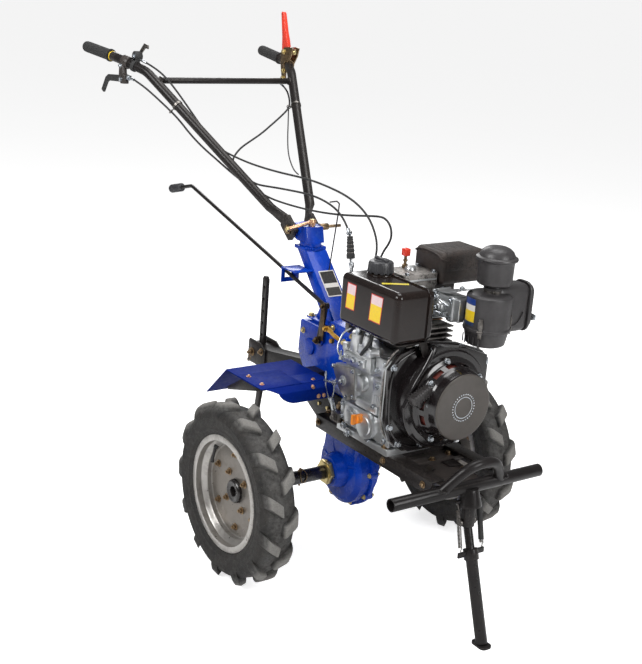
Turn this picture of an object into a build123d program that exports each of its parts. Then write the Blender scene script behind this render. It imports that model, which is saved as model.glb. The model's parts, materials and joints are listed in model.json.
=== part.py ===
from build123d import *
import os
from math import pi, radians, tan

# A walking tractor: a single-axle diesel tiller standing on its two lugged wheels and a front leg.
# Lengths are millimetres. X points forward to the engine, Y to the machine's left, Z up from the ground.
# Pieces are modelled about the point below the wheel axle, then moved forward by one named offset,
# so that the part's origin is on the ground at the middle of its length.
os.makedirs("parts", exist_ok=True)

RUNNING_FIT = 0.05
SEAT_GAP = 0.3

# Wheels
TYRE_R = 260.0
TYRE_W = 108.0
LUGS_A_SIDE = 13
LUG_H = 19.0
LUG_W = 26.0
LUG_SLANT = 38.0
TRACK_HALF = 394.0
RIM_SEAT_R = 152.4
RIM_LIP_R = 167.5
RIM_W = 88.0
RIM_T = 3.0
RIM_WELL_R = 138.0
DISC_T = 5.0
HUB_R = 34.0
HUB_FLANGE_R = 60.0
HUB_CUP = 12.0
HALF_AXLE_R = 20.0
SHAFT_R = 15.0
COLLAR_ACROSS = 66.0
COLLAR_W = 14.0
AXLE_Z = TYRE_R

# Gear case
DRUM_R = 104.0
DRUM_HALF_W = 42.0
BOSS_R = 54.0
BOSS_Y = 78.0
CASE_HALF_W = 70.0
CASE_REAR_X = -210.0
CASE_FRONT_X = 74.0
CASE_TOP_Z = 672.0
CASE_STEP_X = -60.0
CASE_STEP_H = 34.0
CASE_SPLIT_Z = 436.0
NECK_HALF = 64.0

# Hitch
HITCH_REAR_X = -548.0
HITCH_Z = (432.0, 490.0)
HITCH_HALF_W = 26.0
STAKE_W = 26.0
STAKE_T = 10.0
STAKE_X = -516.0
STAKE_TOP_Z = 716.0
STAKE_TIP_Z = 248.0

# Mudguards
GUARD_Y = (108.0, 332.0)
GUARD_Z = 550.0
GUARD_T = 3.0
GUARD_REAR_X = -186.0
GUARD_FRONT_X = 20.0

# Engine frame
RAIL_Y = 120.0
RAIL_W = 44.0
RAIL_TOP_Z = 440.0
RAIL_H = 40.0
RAIL_T = 6.0
RAIL_REAR_X = -22.0
PLATE_REAR_X = -150.0
PLATE_BOTTOM_Z = 372.0
PLATE_TOP_Z = 500.0
BAR_X = 512.0
BAR_Z = 407.0
BAR_R = 17.5
BAR_WALL = 3.0
BAR_HALF = 256.0
HOOP_Y = (-97.0, 114.0)
HOOP_RISE = 82.0
HOOP_LEAN = 40.0
HOOP_SIDE = 62.0
HOOP_ROUND = 72.0
HOOP_R = 14.0
APRON_Z = 412.0
CROSS_H = 13.0

# Stand
STAND_X = 524.0
STAND_PIVOT_Z = 314.0
STAND_FOOT_X = 632.0
STUB_R = 20.0
STUB_BORE_R = 17.5
STUB_BELOW_PIN = 10.0
LEG_R = 11.5
LEG_TUBE_R = 16.0
COLLAR_DOWN = 84.0
EAR_REACH = 44.0
FOOT_L = 60.0
FOOT_W = 52.0
FOOT_T = 6.0
STAND_PIN_R = 5.0
SPRING_R = 8.0
SPRING_TOP_Z = 372.0
HOOK_SHORT = 0.65

# Engine
CRANK_Z = 611.0
ENGINE_REAR_X = 92.0
ENGINE_FRONT_X = 322.0
BLOCK_HALF_W = 112.0
BLOCK_TOP_Z = 700.0
FOOT_PAD_H = 18.0
RIM_PLATE_T = 16.0
SHROUD_T = 12.0
VOLUTE_R = 140.0
VOLUTE_T = 42.0
RECOIL_BASE_R = 118.0
RECOIL_R = 91.0
RECOIL_FRONT_X = 462.0
CYLINDER_X = (112.0, 268.0)
CYLINDER_Y = (-46.0, 112.0)
HEAD_Z0 = 772.0
HEAD_Z1 = 850.0
COVER_H = 52.0
FINS = 5

# Tank and top hamper
TANK_X = (132.0, 380.0)
TANK_Y = (-186.0, -58.0)
TANK_Z = (774.0, 912.0)
TANK_ROUND = 17.0
CAP_X = 188.0
CAP_Y = -97.0
CAP_R = 35.0
CAP_H = 32.0
CLEANER_X = 372.0
CLEANER_Y = 134.0
CLEANER_R = 62.0
CLEANER_Z = (782.0, 884.0)
DISH_DEPTH = 38.0
PRE_X = 368.0
PRE_Y = 148.0
BRIM_R = 57.0
BRIM_Z = 976.0
MUFFLER_X = (88.0, 214.0)
MUFFLER_Y = (96.0, 262.0)
MUFFLER_Z = (864.0, 956.0)

# Column and handlebar
SWIVEL_X = -283.0
SWIVEL_Z = 872.0
COLUMN_HALF_W = 38.0
COLUMN_DEPTH = 51.0
TILT_X = -336.0
TILT_Z = 912.0
TILT_PIN_R = 8.0
FOOT_Y = 42.0
FOOT_PLATE_T = 13.0
FOOT_PLATE_H = 50.0
TUBE_R = 15.0
TUBE_WALL = 2.0
ELBOW = (-858.0, 273.0, 1320.0)
SHOULDER = (-958.0, 318.0, 1348.0)
TIP = (-1158.0, 340.0, 1366.0)
ELBOW_ROUND = 90.0
CROSSBAR_R = 10.0
GRIP_R = 18.0
GRIP_L = 150.0
GRIP_CAP = 5.0
GRIP_EDGE = 2.3
RED_TOP_Z = 1514.0

# Gear lever
LEVER_Y = -75.0
LEVER_FOOT = (-78.0, 745.0)
LEVER_BEND = (-893.0, 940.0)
LEVER_TIP = (-1034.0, 903.0)
LEVER_R = 6.0
KNOB_R = 12.0
PIVOT_PIN_R = 4.0
SELECTOR = (-98.0, 636.0)

# The foot and the grips are the machine's ends, and the origin lies midway between them.
# A grip slopes, so the edge of its end reaches a little past the middle of it.
STAND_REACH = STAND_FOOT_X + FOOT_L / 2
AXLE_AHEAD_OF_MIDDLE = -(STAND_REACH + TIP[0] - GRIP_CAP - GRIP_EDGE) / 2


def block(x, y, z):
    """A box between two values on each axis."""
    size = [axis[1] - axis[0] for axis in (x, y, z)]
    middle = [(axis[0] + axis[1]) / 2 for axis in (x, y, z)]
    return Pos(*middle) * Box(*size)


def rod(start, end, radius, bore=0.0):
    """A round bar, or a pipe when it has a bore, between two points."""
    start, end = Vector(*start), Vector(*end)
    length = (end - start).length
    plane = Plane(start, z_dir=end - start)
    solid = extrude(plane * Circle(radius), amount=length)
    return solid - extrude(plane * Circle(bore), amount=length) if bore else solid


def cone(start, end, start_radius, end_radius):
    """A tapered round bar between two points."""
    start, end = Vector(*start), Vector(*end)
    plane = Plane(start, z_dir=end - start)
    return plane * Pos(0, 0, (end - start).length / 2) * Cone(start_radius, end_radius, (end - start).length)


def side_profile(points, y0, y1):
    """An outline of (x, z) points given thickness from y0 to y1."""
    face = make_face(Polyline(*points, close=True).edges())
    return extrude(Plane.XZ.offset(-max(y0, y1)) * face, amount=abs(y1 - y0))


def plan_profile(points, z0, z1):
    """An outline of (x, y) points given thickness from z0 to z1."""
    face = make_face(Polyline(*points, close=True).edges())
    return extrude(Plane.XY.offset(z0) * face, amount=z1 - z0)


def front_profile(points, x0, x1):
    """An outline of (y, z) points given thickness from x0 to x1."""
    face = make_face(Polyline(*points, close=True).edges())
    return extrude(Plane.YZ.offset(x0) * face, amount=x1 - x0)


def ring(profile):
    """A turned piece about the Y axis from (radius, y) points."""
    face = make_face(Polyline(*profile, close=True).edges())
    return revolve(face, Axis.Y)


def bent(points, radii, radius, bore=0.0):
    """A round bar or pipe along straight runs joined by tangent arcs."""
    path = FilletPolyline(*points, radius=radii)
    plane = Plane(path @ 0, z_dir=path % 0)
    solid = sweep(plane * Circle(radius), path=path)
    return solid - sweep(plane * Circle(bore), path=path) if bore else solid


def mirrored(piece):
    """The same piece on the machine's other side."""
    return mirror(piece, about=Plane.XZ)


def both(piece):
    """A piece with its mirror image, as two solids of one node."""
    return Compound(children=[*piece.solids(), *mirrored(piece).solids()])


def along(start, end, distance):
    """The point that lies a distance from start towards end."""
    start, end = Vector(*start), Vector(*end)
    spot = start + (end - start).normalized() * distance
    return (spot.X, spot.Y, spot.Z)


def save(name, piece):
    """Write one piece where it stands on the machine."""
    export_step(Pos(AXLE_AHEAD_OF_MIDDLE, 0, 0) * piece, f"parts/{name}.step")


# Wheels, modelled about the Y axis with their outer side towards +Y
BEAD = RIM_W / 2 - RIM_T
CARCASS_R = TYRE_R - LUG_H


def tyre():
    """A carcass of open section with slanting lugs that point down in front."""
    half, shoulder = TYRE_W / 2, CARCASS_R - 14
    middle = (RIM_LIP_R + CARCASS_R) / 2
    carcass = ring([
        (RIM_SEAT_R, -BEAD), (RIM_LIP_R, -BEAD), (middle, -half), (shoulder, -half + 3),
        (CARCASS_R, -half + 22), (CARCASS_R, half - 22), (shoulder, half - 3), (middle, half),
        (RIM_LIP_R, BEAD), (RIM_SEAT_R, BEAD), (RIM_SEAT_R, BEAD - 8), (middle, half - 10),
        (CARCASS_R - 12, half - 28), (CARCASS_R - 12, -half + 28), (middle, -half + 10),
        (RIM_SEAT_R, -BEAD + 8),
    ])
    envelope = ring([
        (CARCASS_R - 22, -half + 1), (TYRE_R - 10, -half + 9), (TYRE_R, -half + 16),
        (TYRE_R, half - 16), (TYRE_R - 10, half - 9), (CARCASS_R - 22, half - 1),
    ]) - ring([(CARCASS_R - 6, -half), (CARCASS_R - 6, half), (0, half), (0, -half)])
    bar = Box(LUG_W, TYRE_W * 0.62, 2 * LUG_H + 20)
    lugs = []
    for side in (-1, 1):
        for n in range(LUGS_A_SIDE):
            turn = (n + 0.5 + side * 0.25) * 360 / LUGS_A_SIDE
            lug = Pos(0, side * TYRE_W * 0.24, -CARCASS_R) * Rot(0, 0, -side * LUG_SLANT) * bar
            lugs.append(Rot(0, turn, 0) * lug & envelope)
    return carcass + lugs


def rim():
    """A rolled rim with a dropped well and its welded disc."""
    half = RIM_W / 2
    well = [(RIM_WELL_R, -half + 34), (RIM_WELL_R, half - 30)]
    outside = [(RIM_LIP_R, -half), (RIM_LIP_R, -BEAD), (RIM_SEAT_R, -BEAD), (RIM_SEAT_R, -half + 20),
               *well, (RIM_SEAT_R, half - 18), (RIM_SEAT_R, BEAD), (RIM_LIP_R, BEAD), (RIM_LIP_R, half)]
    inside = [(RIM_SEAT_R - RIM_T, half), (RIM_SEAT_R - RIM_T, half - 18), (RIM_WELL_R - RIM_T, half - 30),
              (RIM_WELL_R - RIM_T, -half + 34), (RIM_SEAT_R - RIM_T, -half + 20), (RIM_SEAT_R - RIM_T, -half)]
    disc = [(HUB_R, -DISC_T), (HUB_R, 0), (RIM_WELL_R - RIM_T / 2, 0),
            (RIM_WELL_R - RIM_T / 2, -DISC_T)]
    return ring(outside + inside) + ring(disc)


COLLAR_Y = BOSS_Y + 1.5
HALF_AXLE_START = COLLAR_Y + COLLAR_W
SHAFT_IN_SLEEVE = 110.0


def half_axle():
    """The sleeve on the gear case's shaft, with the flange and cup that carry the rim's disc."""
    y0, y1 = HALF_AXLE_START, TRACK_HALF + HUB_CUP
    bore = SHAFT_R + RUNNING_FIT
    disc = TRACK_HALF - DISC_T
    return ring([
        (bore, y0), (HALF_AXLE_R, y0), (HALF_AXLE_R, disc - 14), (HUB_FLANGE_R, disc - 6),
        (HUB_FLANGE_R, disc), (HUB_R, disc), (HUB_R, y1 - 5), (HUB_R - 5, y1), (HALF_AXLE_R, y1 - 3),
        (bore, y1 - 3),
    ])


def hex_collar():
    """The plated hexagon and washer that lock the half-axle to the shaft."""
    plane = Plane((0, COLLAR_Y, 0), x_dir=(1, 0, 0), z_dir=(0, 1, 0))
    nut = extrude(plane * RegularPolygon(COLLAR_ACROSS / 2, 6, major_radius=False), amount=COLLAR_W)
    nut &= ring([(0, COLLAR_Y), (COLLAR_ACROSS / 2 + 1, COLLAR_Y), (COLLAR_ACROSS, COLLAR_Y + 4),
                 (COLLAR_ACROSS, COLLAR_Y + COLLAR_W - 4), (COLLAR_ACROSS / 2 + 1, COLLAR_Y + COLLAR_W),
                 (0, COLLAR_Y + COLLAR_W)])
    return nut - rod((0, COLLAR_Y, 0), (0, HALF_AXLE_START, 0), SHAFT_R + RUNNING_FIT)


def axle_shaft():
    """The gear case's output shaft, which reaches into both half-axles."""
    reach = HALF_AXLE_START + SHAFT_IN_SLEEVE
    return rod((0, -reach, 0), (0, reach, 0), SHAFT_R)


def wheels():
    lift = Pos(0, 0, AXLE_Z)
    at_wheel = lift * Pos(0, TRACK_HALF, 0)
    save("axle_shaft", lift * axle_shaft())
    for node, piece in (("tyre", at_wheel * tyre()), ("rim", at_wheel * rim()), ("half_axle", lift * half_axle())):
        save(f"{node}_left", piece)
        save(f"{node}_right", mirrored(piece))
    save("hex_collars", both(lift * hex_collar()))


# Gear case and its column
def gearbox_final():
    """The lower drum that carries the axle, a flanged casting with its neck."""
    drum = ring([
        (0, -BOSS_Y), (BOSS_R - 8, -BOSS_Y), (BOSS_R, -DRUM_HALF_W - 8), (BOSS_R, -DRUM_HALF_W),
        (DRUM_R - 16, -DRUM_HALF_W), (DRUM_R, -DRUM_HALF_W + 12), (DRUM_R, 0), (DRUM_R + 10, 0),
        (DRUM_R + 10, 12), (DRUM_R - 12, 12), (DRUM_R - 20, DRUM_HALF_W), (BOSS_R, DRUM_HALF_W),
        (BOSS_R - 8, BOSS_Y), (0, BOSS_Y),
    ])
    neck_foot = AXLE_Z + DRUM_R * 0.4
    neck = side_profile([(-NECK_HALF, CASE_SPLIT_Z), (-NECK_HALF - 14, neck_foot),
                         (NECK_HALF + 14, neck_foot), (NECK_HALF, CASE_SPLIT_Z)], -DRUM_HALF_W, DRUM_HALF_W)
    seam = side_profile([(-NECK_HALF - 10, CASE_SPLIT_Z), (-NECK_HALF - 24, neck_foot),
                         (NECK_HALF + 24, neck_foot), (NECK_HALF + 10, CASE_SPLIT_Z)], 0, 12)
    bore = rod((0, -BOSS_Y, AXLE_Z), (0, BOSS_Y, AXLE_Z), SHAFT_R + RUNNING_FIT)
    return Pos(0, 0, AXLE_Z) * drum + neck + seam - bore


def gearbox_upper():
    """The upper gear case, stepped up at the front and swept in to its neck."""
    outline = [
        (-NECK_HALF - 10, CASE_SPLIT_Z), (NECK_HALF + 10, CASE_SPLIT_Z), (CASE_FRONT_X, CASE_SPLIT_Z + 84),
        (CASE_FRONT_X, CASE_TOP_Z + CASE_STEP_H), (CASE_STEP_X, CASE_TOP_Z + CASE_STEP_H),
        (CASE_STEP_X, CASE_TOP_Z), (CASE_REAR_X + 4, CASE_TOP_Z), (CASE_REAR_X, CASE_TOP_Z - 100),
        (CASE_REAR_X + 60, CASE_SPLIT_Z + 50),
    ]
    case = side_profile(outline, -CASE_HALF_W, CASE_HALF_W)
    return fillet(case.edges().filter_by(Axis.Y), 10)


def clutch_housing():
    """The round bell between the engine and the gear case."""
    return cone((CASE_FRONT_X, 0, CRANK_Z), (ENGINE_REAR_X, 0, CRANK_Z), 62, 70)


def column_line(z):
    """The X of the leaning column's middle at a height."""
    share = (SWIVEL_Z - z) / (SWIVEL_Z - CASE_TOP_Z)
    return SWIVEL_X + (CASE_STEP_X - 35 - SWIVEL_X) * share


def handlebar_column():
    """The leaning box section on the gear case, with its top plate for the swivel."""
    half, deck = COLUMN_DEPTH / 2, SWIVEL_Z - 10
    shaft = side_profile([
        (column_line(deck) - half, deck), (column_line(deck) + half, deck),
        (column_line(CASE_TOP_Z) + half + 8, CASE_TOP_Z), (column_line(CASE_TOP_Z) - half - 8, CASE_TOP_Z),
    ], -COLUMN_HALF_W + 2, COLUMN_HALF_W - 2)
    plate = block((SWIVEL_X - half - 4, SWIVEL_X + half + 4), (-COLUMN_HALF_W, COLUMN_HALF_W),
                  (deck, SWIVEL_Z))
    foot_plate = block((CASE_REAR_X + 40, CASE_STEP_X), (-COLUMN_HALF_W - 14, COLUMN_HALF_W + 14),
                       (CASE_TOP_Z, CASE_TOP_Z + 8))
    hole = rod((SWIVEL_X, 0, SWIVEL_Z - 50), (SWIVEL_X, 0, SWIVEL_Z), TILT_PIN_R + RUNNING_FIT)
    return shaft + plate + foot_plate - hole


def lever_guide():
    """The bent plate beside the column that the gear lever runs through."""
    z = LEVER_Z_AT_GUIDE + 8
    x = GUIDE_X
    outer = LEVER_Y - 24
    flange = block((x, column_line(z) + 10), (outer, -COLUMN_HALF_W + 2), (z + 8, z + 12))
    upright = block((x, x + 4), (outer, -COLUMN_HALF_W + 2), (z - 36, z + 12))
    window = block((x - 1, x + 5), (LEVER_Y - 12, LEVER_Y + 12), (z - 22, z + 4))
    return flange + upright - window


GUIDE_X = -284.0
LEVER_SLOPE = (LEVER_BEND[1] - LEVER_FOOT[1]) / (LEVER_BEND[0] - LEVER_FOOT[0])
LEVER_Z_AT_GUIDE = LEVER_FOOT[1] + LEVER_SLOPE * (GUIDE_X - LEVER_FOOT[0])


def gear_lever():
    """The long change rod with its ribbed knob, its link and the selector it turns."""
    foot = (LEVER_FOOT[0], LEVER_Y, LEVER_FOOT[1])
    bend = (LEVER_BEND[0], LEVER_Y, LEVER_BEND[1])
    tip = (LEVER_TIP[0], LEVER_Y, LEVER_TIP[1])
    shaft = bent([foot, bend, tip], [40], LEVER_R)
    knob_start = along(tip, bend, 52)
    knob = rod(knob_start, tip, KNOB_R - 2)
    for n in range(7):
        knob += rod(along(knob_start, tip, 7.4 * n), along(knob_start, tip, 7.4 * n + 4.5), KNOB_R)
    y0, y1 = LEVER_Y - 4, LEVER_Y + 4
    link = side_profile([(foot[0] + 10, foot[2] + 10), (foot[0] - 10, foot[2] + 8),
                         (SELECTOR[0] - 11, SELECTOR[1] - 8), (SELECTOR[0] + 9, SELECTOR[1] - 8)], y0, y1)
    pivot = rod((SELECTOR[0], -CASE_HALF_W, SELECTOR[1]), (SELECTOR[0], LEVER_Y - 10, SELECTOR[1]), 10)
    return shaft + knob + link + pivot


def rear_hitch(case):
    """The box arm behind the gear case that the draft bar hangs in."""
    z0, z1 = HITCH_Z
    arm = side_profile([
        (HITCH_REAR_X, z0), (HITCH_REAR_X, z1), (STAKE_X + 70, z1), (CASE_REAR_X, z1 + 40),
        (CASE_REAR_X + 60, z1 + 40), (CASE_REAR_X + 110, z0 + 20), (STAKE_X + 70, z0),
    ], -HITCH_HALF_W, HITCH_HALF_W)
    slot = block((STAKE_X - STAKE_W / 2 - SEAT_GAP, STAKE_X + STAKE_W / 2 + SEAT_GAP),
                 (-STAKE_T / 2 - SEAT_GAP, STAKE_T / 2 + SEAT_GAP), (z0 - 1, z1 + 1))
    return arm - slot - case


def depth_stake():
    """The flat draft bar with its row of holes and its curved lower end."""
    half = STAKE_W / 2
    outline = [(STAKE_X - half, STAKE_TOP_Z - 10), (STAKE_X - half + 6, STAKE_TOP_Z),
               (STAKE_X + half - 6, STAKE_TOP_Z), (STAKE_X + half, STAKE_TOP_Z - 10),
               (STAKE_X + half, STAKE_TIP_Z + 80), (STAKE_X - 2, STAKE_TIP_Z),
               (STAKE_X - half - 8, STAKE_TIP_Z + 8), (STAKE_X - half, STAKE_TIP_Z + 70)]
    bar = side_profile(outline, -STAKE_T / 2, STAKE_T / 2)
    for n in range(5):
        z = HITCH_Z[1] + 30 + 40 * n
        bar -= rod((STAKE_X, -STAKE_T, z), (STAKE_X, STAKE_T, z), 5)
    return bar


def hitch_pin():
    """The ring pin standing on the hitch arm behind the gear case."""
    x = CASE_REAR_X - 34
    top = HITCH_Z[1] + 40 - 34 * 40 / (CASE_REAR_X - STAKE_X - 70)
    stem = rod((x, 0, top + 1), (x, 0, top + 12), 5)
    loop = Pos(x, 0, top + 24) * Rot(0, 90, 40) * Torus(14, 3)
    return stem + loop


def mudguard():
    """A flat deck with a flap bent down behind and a lip bent down in front, the left side."""
    inner, outer, deck_z, deck_t = GUARD_Y[0], GUARD_Y[1], GUARD_Z, GUARD_T
    rear, front = GUARD_REAR_X, GUARD_FRONT_X
    section = [
        (rear, deck_z + deck_t), (front - 8, deck_z + deck_t), (front + 14, deck_z - 6),
        (front + 24, deck_z - 36), (front + 24 - deck_t, deck_z - 36), (front + 11, deck_z - 6),
        (front - 9, deck_z), (rear + 1, deck_z), (rear - 106, deck_z - 104), (rear - 108, deck_z - 102),
    ]
    guard = side_profile(section, inner, outer)
    corner = plan_profile([(rear - 120, inner - 1), (rear - 120, inner + 60), (rear, inner - 1)], 400, 600)
    front_corner = plan_profile([(front - 30, outer + 1), (front + 30, outer + 1), (front + 30, outer - 60)],
                                400, 600)
    return guard - corner - front_corner


def mudguard_bracket():
    """The angle under one mudguard, from the side plate outwards."""
    rear, front, inner = -118, -62, RAIL_Y - RAIL_W
    shelf = block((rear, front), (inner, 290), (GUARD_Z - 4, GUARD_Z))
    web = block((front - 4, front), (inner, 290), (GUARD_Z - 30, GUARD_Z))
    stem = block((rear, front), (CASE_HALF_W, inner), (PLATE_TOP_Z, GUARD_Z))
    return shelf + web + stem


# Engine frame, bumper bar and stand
def frame_rail():
    """One angle-section rail that the engine's feet bolt to, the left side."""
    web = block((RAIL_REAR_X, BAR_X), (RAIL_Y - RAIL_T, RAIL_Y), (RAIL_TOP_Z - RAIL_H, RAIL_TOP_Z))
    shelf = block((RAIL_REAR_X, BAR_X), (RAIL_Y - RAIL_W, RAIL_Y), (RAIL_TOP_Z - RAIL_T, RAIL_TOP_Z))
    bar = rod((BAR_X, 0, BAR_Z), (BAR_X, BAR_HALF, BAR_Z), BAR_R)
    ahead = block((BAR_X, BAR_X + 30), (0, BAR_HALF), (300, 500))
    over = block((BAR_X - 8, BAR_X + 30), (0, BAR_HALF), (BAR_Z, 500))
    return web + shelf - bar - ahead - over


def side_plate():
    """The cheek that bolts the rail to the gear case, the left side."""
    low = PLATE_BOTTOM_Z
    outline = [(PLATE_REAR_X, PLATE_TOP_Z), (60, PLATE_TOP_Z), (60, low), (RAIL_REAR_X, low), (PLATE_REAR_X, RAIL_TOP_Z)]
    return side_profile(outline, CASE_HALF_W, RAIL_Y - RAIL_W)


def cross_member():
    """The bar across the rails under the engine's front feet, with the apron plate below it."""
    inner = RAIL_Y - RAIL_T
    beam = block((ENGINE_FRONT_X - 4, ENGINE_FRONT_X + 46), (-inner, inner), (APRON_Z, APRON_Z + CROSS_H))
    front = BAR_X - BAR_R - 6
    apron = plan_profile([(ENGINE_FRONT_X + 10, -88), (front, -62), (front, 62), (ENGINE_FRONT_X + 10, 88)],
                         APRON_Z - 5, APRON_Z)
    return beam + apron


def front_bumper():
    """The open bumper tube with its hoop and the saddle that the stand's stub hangs from."""
    bar = rod((BAR_X, -BAR_HALF, BAR_Z), (BAR_X, BAR_HALF, BAR_Z), BAR_R)
    y0, y1 = HOOP_Y
    top_x, top_z = BAR_X + HOOP_LEAN, BAR_Z + HOOP_RISE
    hoop = bent([(BAR_X, y0, BAR_Z), (top_x, y0 + HOOP_SIDE, top_z), (top_x, y1 - HOOP_SIDE, top_z),
                 (BAR_X, y1, BAR_Z)], [HOOP_ROUND, HOOP_ROUND], HOOP_R)
    saddle = cone((STAND_X, 0, BAR_Z - 46), (STAND_X - 4, 0, BAR_Z), STUB_R + 14, BAR_R + 6)
    lugs = block((STAND_X - 8, STAND_X), (-EAR_REACH, EAR_REACH), (SPRING_TOP_Z, SPRING_TOP_Z + 6))
    bore = rod((BAR_X, -BAR_HALF, BAR_Z), (BAR_X, BAR_HALF, BAR_Z), BAR_R - BAR_WALL)
    return bar + hoop + saddle + lugs - bore


def stand_socket(bumper):
    """The stub under the bumper bar that the leg's pin passes through."""
    x, pin_z = STAND_X, STAND_PIVOT_Z
    stub = rod((x, 0, pin_z - STUB_BELOW_PIN), (x, 0, BAR_Z - 40), STUB_R, STUB_BORE_R)
    slot = block((x - STUB_R - 1, x), (-STUB_BORE_R, STUB_BORE_R),
                 (pin_z - STUB_BELOW_PIN - 1, pin_z + 36))
    pin_hole = rod((x, -STUB_R, pin_z), (x, STUB_R, pin_z), STAND_PIN_R + RUNNING_FIT)
    return stub - slot - pin_hole - bumper


STAND_PIVOT = (STAND_X, 0.0, STAND_PIVOT_Z)
STAND_FOOT = (STAND_FOOT_X, 0.0, FOOT_T)
STAND_COLLAR = along(STAND_PIVOT, STAND_FOOT, COLLAR_DOWN)


def stand_leg():
    """The folding leg from its pin down to the foot plate."""
    pivot, foot, collar_at = STAND_PIVOT, STAND_FOOT, STAND_COLLAR
    upper = rod(along(pivot, foot, -8), along(pivot, foot, COLLAR_DOWN + 10), LEG_R)
    lower = rod(collar_at, foot, LEG_TUBE_R)
    collar = rod(along(pivot, foot, COLLAR_DOWN - 10), along(pivot, foot, COLLAR_DOWN + 18), LEG_TUBE_R + 4)
    ears = block((collar_at[0] - 3, collar_at[0] + 3), (-EAR_REACH, EAR_REACH),
                 (collar_at[2] - 7, collar_at[2] + 7))
    plate = block((STAND_FOOT_X - FOOT_L / 2, STAND_REACH), (-FOOT_W / 2, FOOT_W / 2), (0, FOOT_T))
    pin = rod((pivot[0], -STUB_R - 4, pivot[2]), (pivot[0], STUB_R + 4, pivot[2]), STAND_PIN_R)
    below_ground = block((0, 900), (-90, 90), (-60, 0))
    return upper + lower + collar + ears + plate + pin - below_ground


def stand_springs():
    """The two pull springs beside the stub, each a plain rod of the spring's outer size."""
    y = EAR_REACH - 7
    low = (STAND_COLLAR[0], y, STAND_COLLAR[2] + 7)
    high = (STAND_X - 4, y, SPRING_TOP_Z)
    spring = rod(along(low, high, 8), along(high, low, 16), SPRING_R)
    lower_hook = rod(along(low, high, HOOK_SHORT), along(low, high, 12), 2.5)
    upper_hook = rod(along(high, low, HOOK_SHORT), along(high, low, 20), 2.5)
    return both(spring + lower_hook + upper_hook)


# Engine
SHROUD_REAR_X = ENGINE_FRONT_X + RIM_PLATE_T
SHROUD_FRONT_X = SHROUD_REAR_X + SHROUD_T
VOLUTE_FRONT_X = SHROUD_FRONT_X + VOLUTE_T
SHROUD_OUTLINE = [
    (-168, 560), (-168, 700), (-138, 737), (-44, 764), (60, 748), (150, 716), (176, 690), (176, 540),
    (140, 482), (78, 455), (-80, 459), (-142, 497),
]


def crankcase():
    """The cast engine block on its two feet, with the flange that the shroud bolts to."""
    bottom = RAIL_TOP_Z + FOOT_PAD_H
    body = block((ENGINE_REAR_X, ENGINE_FRONT_X), (-BLOCK_HALF_W, BLOCK_HALF_W), (bottom, BLOCK_TOP_Z))
    body = fillet(body.edges().filter_by(Axis.X), 20)
    feet = block((ENGINE_REAR_X, ENGINE_FRONT_X), (-RAIL_Y - 8, RAIL_Y + 8), (RAIL_TOP_Z, bottom))
    flange = front_profile(SHROUD_OUTLINE, ENGINE_FRONT_X, SHROUD_REAR_X)
    flange = fillet(flange.edges().filter_by(Axis.X), 10)
    duct_cut = block((0, 500), (-200, 200), (BLOCK_TOP_Z + 20, 900))
    return body + feet + (flange - duct_cut)


def engine_side_casting():
    """The governor and pump castings on the block's right side."""
    face = -BLOCK_HALF_W
    governor = side_profile([(66, 626), (160, 640), (170, 552), (132, 540), (92, 560)], face - 18, face)
    governor &= block((ENGINE_REAR_X - 40, 400), (-200, 0), (0, 900))
    cover = side_profile([(60, 622), (162, 639), (171, 553), (132, 541)], face - 22, face - 18)
    pump = block((108, 234), (face - 26, face), (646, 690))
    barrel = rod((150, face - 14, 690), (158, face - 18, 742), 17)
    lower = block((118, 290), (face - 12, face), (466, 530))
    boss = rod((228, face, 498), (228, face - 26, 498), 38)
    boss_two = rod((150, face, 496), (150, face - 20, 496), 26)
    return governor + cover + pump + barrel + lower + boss + boss_two


def oil_cap():
    """The oil filler plug on the right side."""
    face = -BLOCK_HALF_W
    x, z, seat = 212, 514, face - 26
    stem = rod((x, seat, z), (x, seat - 18, z), 13)
    wing = block((x - 4, x + 4), (seat - 32, seat - 18), (z - 14, z + 14))
    return stem + wing


def cylinder():
    """The finned cylinder between block and head."""
    x0, x1 = CYLINDER_X
    y0, y1 = CYLINDER_Y
    core = block((x0 + 14, x1 - 14), (y0 + 14, y1 - 14), (BLOCK_TOP_Z, HEAD_Z0))
    pitch = (HEAD_Z0 - BLOCK_TOP_Z) / FINS
    for n in range(FINS):
        z = BLOCK_TOP_Z + pitch * (n + 0.5)
        core += block(CYLINDER_X, CYLINDER_Y, (z - 2.2, z + 2.2))
    return core


def cylinder_head():
    """The finned head with its rocker cover."""
    x0, x1 = CYLINDER_X
    body = block((x0 - 6, x1 - 52), CYLINDER_Y, (HEAD_Z0, HEAD_Z1))
    cover = block((x0, x1 - 60), (CYLINDER_Y[0] + 18, CYLINDER_Y[1] - 20), (HEAD_Z1, HEAD_Z1 + COVER_H))
    cover = fillet(cover.edges().filter_by(Axis.Z), 10)
    return body + cover


def intake_elbow():
    """The alloy elbow from the head to the air cleaner."""
    x0 = CYLINDER_X[1] - 52
    elbow = block((x0, CLEANER_X - 40), (CYLINDER_Y[1] - 46, CYLINDER_Y[1] + 6), (HEAD_Z0 + 24, HEAD_Z1 + 8))
    keep_out = rod((CLEANER_X, CLEANER_Y, 700), (CLEANER_X, CLEANER_Y, 900), CLEANER_R)
    return elbow - keep_out


def decompression_lever():
    """The small lever with a square knob on the rocker cover."""
    x, y, z = 126, 36, HEAD_Z1 + COVER_H
    stem = rod((x, y, z), (x, y, z + 34), 4)
    return stem + block((x - 10, x + 10), (y - 9, y + 9), (z + 34, z + 54))


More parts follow.
